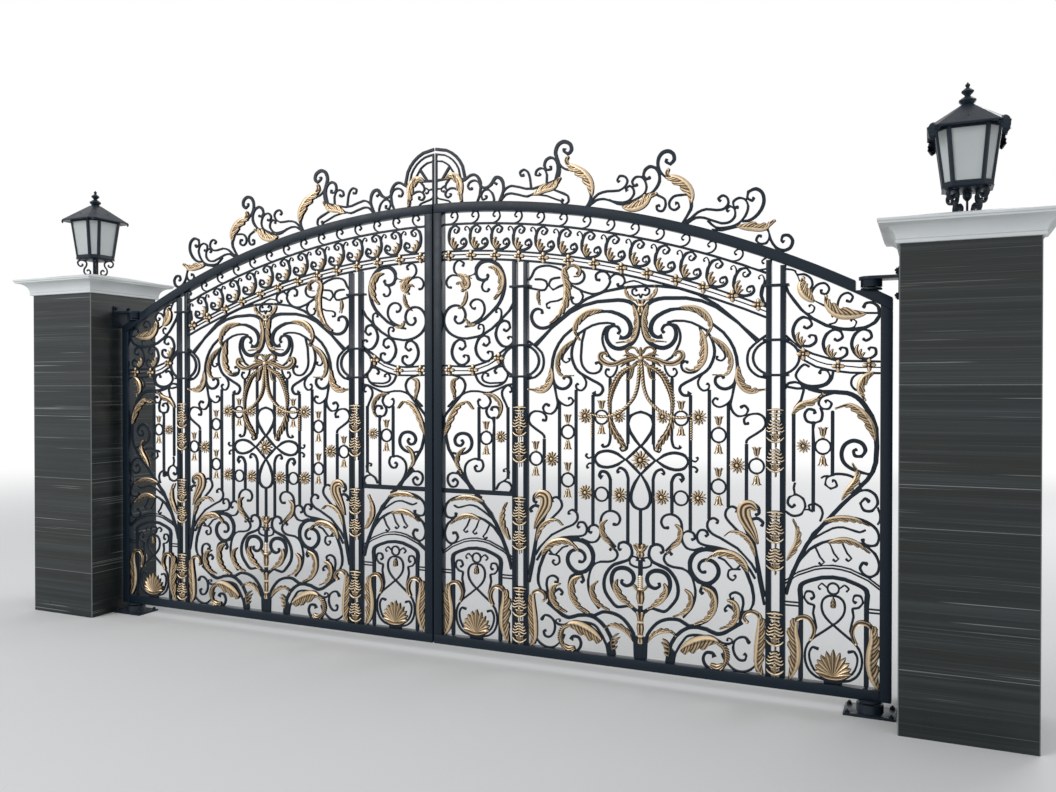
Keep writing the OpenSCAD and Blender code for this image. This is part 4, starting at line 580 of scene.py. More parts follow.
def along(points, pitch):
    """Evenly spaced points on the smooth curve through given points, their directions and its length"""
    fine = fine_line(points, 12)
    runs = np.concatenate([[0], np.cumsum([gap(a, b) for a, b in zip(fine, fine[1:])])])
    fine = np.array(fine)
    at = np.linspace(0, runs[-1], max(6, int(round(runs[-1] / pitch))) + 1)
    line = np.stack([np.interp(at, runs, fine[:, 0]), np.interp(at, runs, fine[:, 1])], 1)
    ways = np.gradient(line, axis=0)
    return line, ways / np.hypot(ways[:, 0], ways[:, 1])[:, None], runs[-1]


STEM, STEM_AT = 0.56, 2      # place of the stem across a leaf, and which of the points it is
LEAF_ACROSS = (-1.0, -0.78, -STEM, -0.30, 0.0, 0.35, 0.70, 1.0)
LOBE_STEPS, FINGER_STEPS = 9, 3


def acanthus(casting, points, width, head=0.82, height=8.0, curl=True):
    """Acanthus leaf from foot to tip: a stem along one side, lobes of three fingers that sweep
    from it towards the tip, and a smooth rolled head. The lobes lie on the inner side of
    the bend, or with a negative width on the outer side"""
    size = abs(width)
    _, _, length = along(points, 9.0)
    lobe = min(14 + 0.75 * size, 0.28 * length)
    line, ways, _ = along(points, lobe / LOBE_STEPS)
    n = len(line) - 1
    side = 1 if net_bend(ways) * width > 0 else -1
    steps = np.arange(n + 1.0)
    rows, low = [], []
    for i in range(n + 1):
        u = i / n
        body, past = u < head, (u - head) / (1.001 - head)
        swell = (math.sin(math.pi * (0.06 + 0.90 * (u / head) ** 0.82)) ** 0.62 if body
                 else 0.28 * (1 - 0.35 * past))
        major, minor = (i / LOBE_STEPS) % 1.0, (i / FINGER_STEPS) % 1.0
        full = min(1.0, (major / 0.70) ** 0.8) if major < 0.72 else (1 - major) / 0.28
        groove = (1 - min(minor, 1 - minor) / 0.5) ** 2 if body else 0.0
        row, dips = [], []
        for k, v in enumerate(LEAF_ACROSS):
            out = max(0.0, (v + STEM) / (1 + STEM))
            back = max(0.0, (-STEM - v) / (1 - STEM))
            notch = (1 - full) * out ** 1.5 if body else 0.0
            fade = 1.0 if body else (1 - u) / (1.001 - head)
            lean = lobe * (0.95 * out ** 1.3 + 0.25 * back) * swell * fade
            j = min(n, i + lean * n / length)
            at = np.array([np.interp(j, steps, line[:, 0]), np.interp(j, steps, line[:, 1])])
            half = size / 2 * swell * (1 - 0.66 * notch) * (1 - 0.16 * groove * out)
            spot = at + square_to(ways[int(j)]) * side * v * half
            # Depth of hollow, which darkens the gilt with patina and painted shade: in the grooves and
            # notches, beside the stem, at the edges, on the turned back, and along the middle of the rolled
            # head
            if body:
                rib = k == STEM_AT
                dome = 0.34 * (1 - out * out) + 0.34 * full * math.sin(math.pi * out ** 0.8)
                cut = 0.26 * groove * min(1.0, 3 * out) + 0.2 * back
                rise = height * (0.24 + swell * (dome + 0.34 * rib - cut))
                dip = (0.85 * groove * min(1.0, 2.5 * out) + 0.85 * (1 - full) ** 2 * out
                       + 0.40 * (k == STEM_AT + 1) + 0.15 * (out == 1.0) + 0.30 * back)
            else:
                rise = height * (0.55 + 0.45 * abs(v))
                dip = 0.75 * (1 - abs(v)) ** 0.7
            row.append((spot[0], spot[1], max(0.6, rise)))
            dips.append(max(0.0, min(1.0, dip)))
        rows.append(row)
        low.append(dips)
    casting.grid(rows, low)
    if curl:
        knob(casting, line[-1], max(3.4, size * 0.13), height * 0.95, 8, 3)


BESIDE_RIB = 0.26
ACROSS = (-1.0, -0.62, -BESIDE_RIB, 0.0, BESIDE_RIB, 0.62, 1.0)
TOOTH_STEPS = 4


def feathered(casting, points, width, height=7.5, tooth=None, cut=0.30, curl=True):
    """Narrow leaf from its foot to its tip: a midrib, and short teeth on both sides"""
    tooth = tooth or 9 + width * 0.25
    line, ways, length = along(points, tooth / TOOTH_STEPS)
    n = len(line) - 1
    bend = net_bend(ways)
    rows, low = [], []
    for i, (p, t) in enumerate(zip(line, ways)):
        u = i / n
        normal = square_to(t)
        swell = math.sin(math.pi * min(1, 0.06 + 0.90 * u ** 0.82)) ** 0.62
        phase = (i / TOOTH_STEPS) % 1.0
        lobe = min(1.0, phase / 0.6 if phase < 0.7 else (1 - phase) / 0.3)
        roll = max(0.0, (u - 0.86) / 0.14) if curl else 0.0
        row, dips = [], []
        for v in ACROSS:
            outer = (v * bend) < 0
            depth, share = (cut, 1.10) if outer else (cut * 0.45, 0.80)
            half = width / 2 * share * swell * (1 - depth * abs(v) ** 1.5 * (1 - lobe))
            lean = tooth * 1.15 * abs(v) ** 1.35 * swell
            at = p + normal * v * half + t * min(lean, (1 - u) * length)
            rib = 1.0 if v == 0 else 0.0
            dome = (1 - abs(v) ** 2.4) * 0.55 + 0.30 * math.sin(math.pi * min(1, abs(v) * 1.15))
            flute = (1 - lobe) * min(1.0, abs(v) * 2.6)
            rise = height * (0.24 + swell * (0.62 * dome + 0.26 * rib - 0.50 * flute))
            rise += 5.0 * roll * (1 - v * v)
            # Darker in the flutes, beside the rib and towards the edges, partly patina and partly painted
            # shade; the rib is left for the painted highlight
            dip = 1.25 * flute ** 1.1 + 0.40 * (abs(v) == BESIDE_RIB) + 0.12 * abs(v) - 0.1 * rib
            row.append((at[0], at[1], max(0.6, rise)))
            dips.append(max(0.0, min(1.0, dip)))
        rows.append(row)
        low.append(dips)
    casting.grid(rows, low)
    if curl:
        knob(casting, line[-1], max(3.2, width * 0.13), height * 0.9, 8, 3)


# Sections across a blade: place, rise and depth of hollow, which darkens the gilt with patina and painted
# shade and leaves a painted highlight where it is 0
RIDGED = ((-1.0, 0.16, 0.30), (-0.5, 0.60, 0.55), (0.0, 1.0, 0.0), (0.5, 0.60, 0.55), (1.0, 0.16, 0.30))
ROUNDED = ((-1.0, 0.30, 0.35), (-0.55, 0.82, 0.0), (0.0, 1.0, 0.0), (0.55, 0.82, 0.0), (1.0, 0.30, 0.35))
FOLDED = ((-1.0, 0.62, 0.10), (-0.62, 1.0, 0.0), (0.0, 0.46, 0.85), (0.62, 1.0, 0.0), (1.0, 0.62, 0.10))
FLUTED = ((-1.0, 0.30, 0.35), (-0.68, 0.72, 0.0), (-0.38, 0.44, 0.9), (0.0, 1.0, 0.0), (0.38, 0.44, 0.9),
          (0.68, 0.72, 0.0), (1.0, 0.30, 0.35))


def blade(casting, points, width, height, section=RIDGED, foot=0.4, tip=0.06, belly=0.45, pitch=6.0):
    """Plain leaf or ribbon along a line, which swells from its foot to its belly and tapers to its tip"""
    line, ways, _ = along(points, pitch)
    rows, low = [], []
    for i, (p, t) in enumerate(zip(line, ways)):
        u = i / (len(line) - 1)
        full = (foot + (1 - foot) * math.sin(math.pi / 2 * u / belly) if u < belly
                else tip + (1 - tip) * max(0.0, math.cos(math.pi / 2 * (u - belly) / (1 - belly))) ** 0.85)
        normal = square_to(t)
        row = []
        for v, rise, _ in section:
            at = p + normal * v * width / 2 * full
            row.append((at[0], at[1], max(0.5, height * rise * (0.35 + 0.65 * full))))
        rows.append(row)
        low.append([dip for _, _, dip in section])
    casting.grid(rows, low)


def knob(casting, at, radius, height, sides=10, rings=4):
    """Small round boss, for a rolled tip or a bead"""
    first = len(casting.points)
    casting.points.append((at[0], at[1], height))
    casting.patina_and_shade.append(0.0)
    for r in range(1, rings + 1):
        a = math.pi / 2 * r / rings
        for k in range(sides):
            b = 2 * math.pi * k / sides
            reach, rise = radius * math.sin(a), height * math.cos(a)
            casting.points.append((at[0] + reach * math.cos(b), at[1] + reach * math.sin(b), rise))
            # Darker down the sides of the boss: painted shade, and patina where it meets the bar; its top
            # gets the painted highlight
            casting.patina_and_shade.append(0.75 * (r / rings) ** 2)
    for k in range(sides):
        j = (k + 1) % sides
        casting.faces.append((first, first + 1 + k, first + 1 + j))
        for r in range(rings - 1):
            a = first + 1 + r * sides
            casting.faces.append((a + k, a + sides + k, a + sides + j, a + j))
    casting.faces.append(tuple(first + 1 + (rings - 1) * sides + k for k in range(sides))[::-1])


# Every leaf as its foot to tip line, its width and, where it isn't the usual one, the share of the
# length up to its rolled head. The main panel's leaves are doubled about its middle.
PANEL_MID = 1176.5
MAIN_LEAVES = [
    ([(980, 1856), (892, 1842), (845, 1806), (826, 1760), (850, 1712)], 40),
    ([(830, 1712), (772, 1670), (738, 1620), (732, 1570), (752, 1530), (815, 1528)], 30),
    ([(1134, 1882), (1152, 1822), (1150, 1756), (1130, 1706), (1050, 1692)], 32),
    ([(690, 1572), (682, 1500), (640, 1454), (566, 1458)], 46),
    ([(648, 585), (672, 628), (705, 655), (745, 669), (790, 670), (828, 648), (846, 628)], 44),
    ([(614, 663), (629, 712), (655, 751), (695, 775), (730, 777), (758, 755)], 26),
    ([(749, 446), (712, 430), (703, 380), (730, 330), (778, 306)], 36),
    ([(870, 500), (822, 470), (812, 410), (840, 350), (900, 316)], 40),
    ([(1004, 794), (977, 770), (978, 738), (990, 706), (1014, 680), (1036, 652)], 32),
    ([(955, 480), (925, 450), (930, 400), (958, 364), (1010, 340)], 30),
    ([(1060, 500), (1050, 470), (1072, 420), (1104, 388), (1136, 368)], 40),
    ([(1136, 205), (1119, 232), (1090, 256), (1052, 267), (1014, 262), (993, 247)], -28),
    ([(572, 110), (590, 150), (588, 210), (584, 270), (582, 330), (590, 383), (622, 404), (655, 392),
      (664, 368), (650, 352)], -60, 0.70),
    ([(784, 236), (822, 236), (872, 222), (920, 203), (970, 180)], 80, 0.97, 9.0, False)]
# Small sprays of plain blades at each side foot: line and width
SPRAYS = [
    ([(1032, 138), (1026, 172), (1030, 206)], 8),
    ([(1028, 148), (1040, 148), (1056, 162)], 13),
    ([(1026, 168), (1040, 170), (1057, 187)], 13),
    ([(1027, 186), (1046, 192), (1071, 208)], 13),
    ([(1029, 198), (1043, 212), (1065, 226)], 12)]
# Leaves round the door-like ornament at each foot, from its middle, and the pairs that flank it
DOOR_LEAVES = [
    ([(-40, 850), (30, 866), (100, 866), (160, 845)], 34),
    ([(-20, 752), (50, 768), (110, 756), (160, 722)], 34)]
DOOR_PAIRS = [
    ([(205, 110), (186, 165), (179, 210), (180, 270), (185, 330), (173, 383), (150, 402), (116, 402),
      (95, 376), (89, 342), (103, 303)], -66, 0.62)]
OTHER_LEAVES = [
    ([(1473, 1748), (1486, 1700), (1490, 1640), (1484, 1598), (1462, 1563), (1428, 1550), (1406, 1560)], 44),
    ([(800, 2088), (772, 2070), (788, 1990), (776, 1900), (722, 1822), (690, 1800)], 46),
    ([(627, 1977), (621, 1938), (628, 1900)], 20),
    ([(330, 2108), (372, 2098), (404, 2050), (398, 1980), (366, 1940)], 44),
    ([(140, 2078), (180, 2060), (200, 2020), (170, 1990)], 46),
    ([(790, 2085), (822, 2092), (850, 2070), (846, 2040), (822, 2036)], 22),
    ([(176, 2048), (198, 2064), (222, 2058)], 20),
    ([(190, 1990), (177, 2006), (166, 2030), (151, 2040), (138, 2028)], 22),
    ([(196, 1992), (190, 1950), (174, 1916), (150, 1896)], 22),
    ([(256, 1812), (220, 1808), (190, 1840)], 22),
    ([(66, 1200), (100, 1290), (150, 1368), (200, 1388), (236, 1352)], 36),
    ([(300, 1430), (356, 1420), (400, 1376), (400, 1330), (378, 1300)], 26),
    ([(190, 1140), (150, 1100), (140, 1050), (170, 1000)], 26),
    ([(150, 1516), (118, 1500), (120, 1430), (126, 1400)], 30),
    ([(461, 657), (434, 702), (414, 746), (412, 785), (421, 822), (436, 852)], 36),
    ([(2008, 1864), (1987, 1888), (1962, 1917), (1950, 1948), (1957, 1973)], 64, 0.86),
    ([(2232, 1806), (2165, 1806), (2112, 1812), (2078, 1834), (2058, 1862), (2057, 1885)], 64, 0.88),
    ([(2266, 1226), (2240, 1300), (2200, 1356), (2156, 1386), (2102, 1372)], 48),
    ([(1908, 1336), (1950, 1380), (2000, 1400), (2046, 1440)], 38),
    ([(2270, 1534), (2224, 1500), (2208, 1450), (2226, 1410)], 46),
    ([(2130, 951), (2157, 994), (2187, 1038), (2196, 1075), (2174, 1121)], -38),
    ([(1888, 657), (1915, 702), (1935, 746), (1937, 785), (1928, 822), (1913, 852)], -36),
    ([(66, 2600), (110, 2616), (146, 2586), (160, 2530), (166, 2480)], 50),
    ([(590, 2478), (650, 2506), (712, 2514), (744, 2548)], 52),
    ([(914, 2440), (897, 2510), (862, 2558), (824, 2588), (790, 2612), (779, 2634), (787, 2652)], -60),
    ([(1079, 2376), (1132, 2372), (1186, 2386), (1214, 2408), (1256, 2424)], 60),
    ([(1426, 2360), (1418, 2411), (1393, 2450), (1355, 2482), (1323, 2498), (1310, 2514), (1317, 2536)], -60),
    ([(1650, 2238), (1720, 2232), (1784, 2222), (1826, 2248)], 50)]
DOORS, PAIR_MID = ((262, -1), (2087, 1)), 5


SHELL_FINGERS, SHELL_TURN, SHELL_REACH, SHELL_SHORTER = 11, 78, 120, 38
SHELL_AT, DOOR_TIP = 138, (508, 486, 458)


def palmette(casting, x, z):
    """Shell of fluted fingers over a rolled base, the outer ones shorter"""
    for k in range(SHELL_FINGERS):
        off = 2 * k / (SHELL_FINGERS - 1) - 1
        a, reach = math.radians(SHELL_TURN * off), SHELL_REACH - SHELL_SHORTER * abs(off)
        tip = (x + reach * math.sin(a), z + 4 + reach * math.cos(a) * 1.04)
        mid = (x + reach * 0.55 * math.sin(a * 0.92), z + 4 + reach * 0.55 * math.cos(a * 0.92))
        finger = [(x + 4 * math.sin(a), z + 6), mid, tip]
        blade(casting, finger, 22, 7.5 + 1.5 * (k % 2), foot=0.25, belly=0.72, tip=0.1)
    base = [(x - 62, z + 12), (x - 30, z - 2), (x, z - 5), (x + 30, z - 2), (x + 62, z + 12)]
    blade(casting, base, 16, 9.5, foot=0.5, belly=0.5, tip=0.5)


def doubled(points, way):
    """Points of one half of the main panel as they are drawn, or with way -1 on its other half"""
    return [(PANEL_MID + way * (x - PANEL_MID), z) for x, z in points]


# Plain blades of each half of the main panel: line, width, height and form
MAIN_BLADES = [
    ([(764, 132), (792, 114), (826, 126)], 36, 9, FLUTED, 0.5, 0.5),
    ([(1163, 450), (1151, 466), (1140, 478), (1132, 470)], 14, 9), *((*spray, 7.5) for spray in SPRAYS),
    ([(600, 726), (621, 776), (648, 822), (666, 862), (662, 898), (634, 908), (606, 888)], 62, 9,
     FLUTED, 0.12, 0.25, 0.66),
    ([(1176, 636), (1160, 658), (1138, 682)], 15, 8)]
TOP_LEAF = [(1158, 1902), (1132, 1912), (1108, 1932), (1096, 1958), (1104, 1972)]
FOOT_LEAF = [(800, 240), (762, 218), (748, 176), (757, 140), (776, 124)]
foliage = Casting()
for way in (-1, 1):
    for points, *sizes in MAIN_LEAVES:
        acanthus(foliage, doubled(points, way), *sizes)
    feathered(foliage, doubled(FOOT_LEAF, way), 32, tooth=11.0, curl=False)
    for points, *sizes in MAIN_BLADES:
        blade(foliage, doubled(points, way), *sizes)
    acanthus(foliage, doubled(TOP_LEAF, way), 22, 0.85, 6.5)
for mid, way in DOORS:
    x0 = mid + way * PAIR_MID
    for points, width in DOOR_LEAVES:
        acanthus(foliage, [(mid + way * x, z) for x, z in points], width)
    for points, *sizes in DOOR_PAIRS:
        for k in (-1, 1):
            acanthus(foliage, [(x0 + way * k * (x - PAIR_MID), z) for x, z in points], *sizes)
    palmette(foliage, x0, SHELL_AT)
    feathered(foliage, [(x0, z) for z in DOOR_TIP], 34, tooth=15.0, curl=False)
for points, *sizes in OTHER_LEAVES:
    acanthus(foliage, points, *sizes)
for hand, side in HANDS:
    piece = foliage.on_leaf(f"{hand}_acanthus", side)
    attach(piece, f"{hand}_leaf")
    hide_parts(f"{hand}_leaves")

# Rosettes: cast flowers of twelve narrow petals round a button, screwed on both sides of the
# bars where they cross, in rows along the frieze and across the pickets.
UNDER_CROWN = 286
FRIEZE_ROSETTES = [(x, under_arch(x, 0) - UNDER_CROWN) for x in
                   (90, 225, 370, 510, 650, 790, 930, 1075, 1210, 1355, 1490, 1630, 1752)]
FRIEZE_ROSETTES += [(1957, 1622), (2110, 1564), (2243, 1568), (92, 1562), (236, 1562), (392, 1622)]
PICKET_ROSETTES = [(698, 1095), (885, 930), (1068, 925), (884, 1322)]
PANEL_ROSETTES = [(404, 1204), (1959, 1196)]


BUTTON = 0.26                # reach of a flower's middle, where its petals start


def rosette(radius=40.0, petals=12):
    """One flower, flat on the bar: narrow petals with gaps between them, and a button"""
    made = Casting()
    around, rings = petals * 4, (BUTTON, 0.44, 0.66, 0.86, 1.0)
    rows, low = [], []
    for j in range(around + 1):
        a = 2 * math.pi * j / around
        petal = abs(math.cos(petals / 2 * a))
        row, dips = [], []
        for t in rings:
            reach = radius * (BUTTON + (t - BUTTON) * (0.26 + 0.74 * petal ** 1.3))
            rise = 0.8 + 5.4 * petal * math.sin(math.pi * (0.22 + 0.68 * t))
            row.append((reach * math.cos(a), reach * math.sin(a), rise))
            # Darker between the petals and round the button, partly patina and partly painted shade
            dips.append(min(1.0, (1 - petal) ** 0.8 + 0.7 * (t == BUTTON)))
        rows.append(row[::-1])
        low.append(dips[::-1])
    made.grid(rows, low)
    knob(made, (0, 0), radius * 0.24, 8.5, 12, 4)
    return made


def loose_mesh(casting, name):
    """A casting as a mesh of its own round the origin, in metres, with its face to the front"""
    mesh = gilt_mesh(name, [(x / 1000, -h / 1000, z / 1000) for x, z, h in casting.points], casting)
    mesh.shade_smooth()
    return mesh


# Sets copies of one item on marked points, each turned and sized by the marks
setting_out, given, gives = new_group("setting_out", "GeometryNodeTree", (
    ("Marks", "Geometry"), ("Item", "Object"), ("Finish", "Material"), ("Mesh", "Geometry", "out")))
item = add_node(setting_out, "GeometryNodeObjectInfo", {"Object": given["Item"]})
MARKS = ("turn", "stretch")
turn, stretch = (add_node(setting_out, "GeometryNodeInputNamedAttribute", {"Name": mark},
                          data_type="FLOAT_VECTOR") for mark in MARKS)
turned = add_node(setting_out, "FunctionNodeEulerToRotation", {"Euler": turn.outputs["Attribute"]})
copies = add_node(setting_out, "GeometryNodeInstanceOnPoints", {
    "Points": given["Marks"], "Instance": item.outputs["Geometry"], "Rotation": turned.outputs["Rotation"],
    "Scale": stretch.outputs["Attribute"]})
real = add_node(setting_out, "GeometryNodeRealizeInstances", {"Geometry": copies.outputs["Instances"]})
inputs = {"Geometry": real.outputs[0], "Material": given["Finish"]}
feed(setting_out, gives, {"Mesh": add_node(setting_out, "GeometryNodeSetMaterial", inputs).outputs[0]})
INPUT = {s.name: s.identifier for s in setting_out.interface.items_tree if s.in_out == "INPUT"}


def set_out(name, mesh, marks, finish):
    """Object with a copy of the mesh at each mark: a place, a turn in radians, and a stretch"""
    pattern = add_object(f"{name}_item", mesh)
    places, *values = zip(*marks)
    points = new_mesh(f"{name}_marks", places, [])
    for key, vectors in zip(MARKS, values):
        given = points.attributes.new(key, "FLOAT_VECTOR", "POINT")
        given.data.foreach_set("vector", [c for vector in vectors for c in vector])
    host = add_object(f"{name}_host", points)
    setter = host.modifiers.new("set_out", "NODES")
    setter.node_group = setting_out
    setter[INPUT["Item"]], setter[INPUT["Finish"]] = pattern, finish
    result = bpy.data.meshes.new_from_object(host.evaluated_get(bpy.context.evaluated_depsgraph_get()))
    result.name = name
    for key in MARKS:
        if key in result.attributes:
            result.attributes.remove(result.attributes[key])
    for used in (host, pattern):
        bpy.data.objects.remove(used)
    return add_object(name, result)


def both_faces(side, x, z, stretch=(1, 1, 1), off=FACE, lean=0.0):
    """Marks for one casting on the front of a leaf and its twin on the back"""
    return [((SEAM_X + side * x / 1000, LEAF_Y + facing * off, z / 1000),
             (0, side * lean * -facing, math.pi if facing > 0 else 0), stretch) for facing in (-1, 1)]


flower, small_flower = loose_mesh(rosette(), "rosette"), loose_mesh(rosette(31.0, 4), "cross_flower")
PLACED = [(1063, 1323, 0.9), (1290, 1323, 0.9), (1177, 1105, 1.2), *((x, z, 0.85) for x, z in PANEL_ROSETTES),
          *((x, z, 1.0) for way in (1, -1) for x, z in doubled(PICKET_ROSETTES, way))]

# Tulips stand over and under the rings between the pickets, and urns on the middle
# bar of the main panel: hollow cast cups that grip the bar, with a flared, lobed lip.
# Each profile is radius, height and how far the lobes cut in.
CUP_LOBES, CUP_DEEP, CUP_SIDES = 6, 0.62, 36
TULIP = [(7, -26, 0), (9.5, -24, 0), (9.5, -20, 0), (7, -18, 0), (12, -12, 0.2), (15, -3, 0.5),
         (15.5, 6, 0.7), (18, 14, 0.9), (23.5, 22, 1.0), (24.5, 26, 1.0), (17, 22, 0.9), (8, 12, 0.3)]
URN = [(9, -44, 0), (12, -42, 0), (12, -37, 0), (8, -34, 0), (17, -27, 0.2), (22, -18, 0.4), (21, -8, 0.4),
       (15, 0, 0.2), (17, 5, 0), (17, 9, 0), (15, 12, 0.1), (22, 20, 0.5), (30, 30, 0.9), (30, 36, 1.0),
       (22, 38, 0.9), (8, 34, 0.2)]
BEAD = ((13, 0), (15, 2.5), (15, 4.5), (13, 7))
BUD = [(13.5, -83, 0), (16, -80, 0), (16, -76, 0), (13.5, -73, 0), (18, -64, 0.3), (22, -48, 0.5),
       (22, -32, 0.5), (19, -14, 0.3), (16, -6, 0.1), (19, -2, 0), (19, 2, 0), (13, 5, 0),
       *((r, 8 + 10 * k + z, 0) for k in range(6) for r, z in BEAD), (12, 68, 0)]
COLUMN = [(13, -160, 0), (15, -158, 0), (17, -150, 0.2), (16, -140, 0.3), (13.5, -128, 0), (17, -124, 0),
          (17, -118, 0), (14, -114, 0), (17, -100, 0.3), (20, -84, 0.4), (19, -68, 0.4), (15, -58, 0.1),
          (18, -54, 0), (18, -49, 0), (15, -45, 0), (18, -30, 0.5), (24, -12, 0.9), (31, -1, 1.0),
          (31, 3, 1.0), (20, 2, 0.9), (13, -6, 0.3)]
# Place, height and which way up, which is also the way from the ring
RING_TULIPS = [(x, z + k * 66, k) for x, z in ((607, 1095), (787, 1238), (787, 990)) for k in (-1, 1)]
RING_TULIPS += [(971, 1377, 1), (971, 1255, -1)]
TULIPS = RING_TULIPS + [(2 * PANEL_MID - x, z, k) for x, z, k in RING_TULIPS]
TULIPS += [(x, 1196 + k * 65, k) for x in (316, 2045) for k in (-1, 1)]
URNS, BUD_AT, COLUMN_AT = (1870, 650), 461, 347


def cup(profile):
    """Cup turned about its middle, a little flat"""
    made, rings = Casting(), []
    for k, (r, z, bite) in enumerate(profile):
        # Darker where a ring is drawn in from the one below it, in the necks and inside the mouth, and
        # between the lobes of the lip, partly patina and partly painted shade
        under, ring = 0.5 * (profile[max(0, k - 1)][0] > r + 2), []
        for a in (2 * math.pi * j / CUP_SIDES for j in range(CUP_SIDES)):
            fall = 1 - abs(math.cos(CUP_LOBES / 2 * a))
            drawn = r * (1 - bite * 0.34 * fall ** 0.8)
            ring.append((drawn * math.cos(a), z - bite * 13 * fall, drawn * math.sin(a) * CUP_DEEP))
            made.patina_and_shade.append(min(1.0, 1.2 * fall ** 0.9 * min(1.0, 3 * bite) + under))
        rings.append(ring)
    skin(made.points, made.faces, rings)
    return made


def upright(side, x, z, spin=0.0):
    """Mark for a casting that grips a bar"""
    return (SEAM_X + side * x / 1000, LEAF_Y, z / 1000), (0, spin, 0), (1, 1, 1)


tulip, urn, bud, column = (loose_mesh(cup(profile), name) for profile, name in
                           ((TULIP, "tulip"), (URN, "urn"), (BUD, "bud"), (COLUMN, "column")))
for hand, side in HANDS:
    large = [mark for x, z, r in PLACED for mark in both_faces(side, x, z, (r, r, r))]
    small = [mark for x, z in FRIEZE_ROSETTES for mark in both_faces(side, x, z)]
    for part, item, marks in (
            ("rosettes", flower, large), ("frieze_rosettes", small_flower, small),
            ("tulips", tulip, [upright(side, x, z, 0 if k > 0 else math.pi) for x, z, k in TULIPS]),
            ("urns", urn, [upright(side, PANEL_MID, z) for z in URNS]),
            ("bud", bud, [upright(side, PANEL_MID, BUD_AT)]),
            ("column", column, [upright(side, PANEL_MID, COLUMN_AT)])):
        piece = set_out(f"{hand}_{part}", item, marks, gilding)
        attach(piece, f"{hand}_leaf")
        if part == "rosettes":
            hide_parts(f"{hand}_flowers")

# Husks: tiers of bell shaped leaves, cast as one strip and screwed between the
# two bars of each pilaster, front and back.
PILASTERS = (519, 1834)
HUSK_RUNS = ((1065, 1360), (605, 880), (115, 405))
PILASTER_BAR = 0.025
# Petals are height of the root, reach and height of the bend; plates are height, reach, droop and width
PETALS = ((107, 24, 98), (92, 31, 82), (77, 37, 66), (61, 41, 51))
PLATES = ((40, 38, 2, 10), (22, 29, -2, 9), (6, 21, -5, 8))
# Heights in a strip 295 long of the feet of its two motifs and of its crown
STRIP, MOTIFS_AT, CROWN_AT = 295, (6, 144), (258,)


def husk_motif():
    """Bell husk: four pairs of petals that droop and flick up, a bead, and an open cup at its foot"""
    made = Casting()
    for k in (-1, 1):
        for root, reach, foot in PETALS:
            petal = [(0, root), (k * reach * 0.40, (root + foot) / 2 - 1), (k * reach * 0.74, foot),
                     (k * reach, foot + 8)]
            blade(made, petal, 9.0, 12.0, ROUNDED, 0.75, 0.45, 0.45, 5.0)
        blade(made, [(0, 2), (k * 13, 5), (k * 27, 12), (k * 40, 25)], 11, 12, ROUNDED, 0.9, 0.4, 0.3, 5.0)
        blade(made, [(k * 3, 16), (k * 11, 20), (k * 17, 30), (k * 13, 38)], 7, 7.5, RIDGED, 0.8, 0.3, 0.4)
        blade(made, [(k * 4, 36), (k * 14, 36), (k * 26, 41)], 8, 10, ROUNDED, 0.9, 0.3, 0.3)
    blade(made, [(0, 4), (0, 26), (0, 48)], 17, 6.5, FLUTED, 0.3, 0.8, 0.6)
    blade(made, [(0, 58), (0, 86), (0, 113)], 7, 5.5, RIDGED, 0.9, 0.2, 0.2)
    blade(made, [(0, -24), (0, -10), (0, 4)], 6, 6, RIDGED, 0.9, 0.9)
    knob(made, (0, 47), 8.5, 12.0, 10, 4)
    return made


def husk_crown():
    """Thin plates over a narrow cup, with a bead between them, at the head of a strip"""
    made = Casting()
    for z, reach, drop, wide in PLATES:
        plate = [(-reach, z - drop), (-reach / 2, z), (0, z + 1), (reach / 2, z), (reach, z - drop)]
        blade(made, plate, wide, 10.0, ROUNDED, 0.4, 0.3, 0.5)
    blade(made, [(0, -12), (0, 14), (0, 42)], 9, 5.5, RIDGED, 0.5, 0.5)
    knob(made, (0, 32), 7.5, 11.5, 10, 4)
    return made


motif, crown = loose_mesh(husk_motif(), "husk_motif"), loose_mesh(husk_crown(), "husk_crown")
for hand, side in HANDS:
    for part, item, heights in (("husk_strips", motif, MOTIFS_AT), ("husk_crowns", crown, CROWN_AT)):
        marks = []
        for x, (z0, z1), z in ((x, run, z) for x in PILASTERS for run in HUSK_RUNS for z in heights):
            tall = (z1 - z0) / STRIP
            marks += both_faces(side, x, z0 + z * tall, (1, 1, tall), PILASTER_BAR / 2 + 0.0003)
        piece = set_out(f"{hand}_{part}", item, marks, gilding)
        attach(piece, f"{hand}_leaf")
        if part == "husk_strips":
            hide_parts(f"{hand}_husks")

# Flames: a small three lobed leaf inside the foot of every scroll of the frieze, and
# of the three scrolls over the outer panel by the hinge.
OUTER_FLAMES = ((1961, 1654), (2096, 1594), (2219, 1592))
FLAME = (([(-12, 6), (-29, 30), (-31, 52), (-22, 70)], 16), ([(-8, 8), (-16, 30), (-8, 50)], 13),
         ([(-6, 8), (-4, 22), (7, 34)], 11))
flame = Casting()
for points, width in FLAME:
    blade(flame, points, width, 7.0, RIDGED, 0.4, 0.3, 0.6)
flames = loose_mesh(flame, "flame")
for hand, side in HANDS:
    marks = []
    for x, z, lean in [(x, z, 0.0) for x, z in OUTER_FLAMES] + frieze_feet:
        front, back = both_faces(side, x, z, lean=lean)
        marks += [(*front[:2], (side, 1, 1)), (*back[:2], (-side, 1, 1))]
    piece = set_out(f"{hand}_frieze_flames", flames, marks, gilding)
    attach(piece, f"{hand}_leaf")

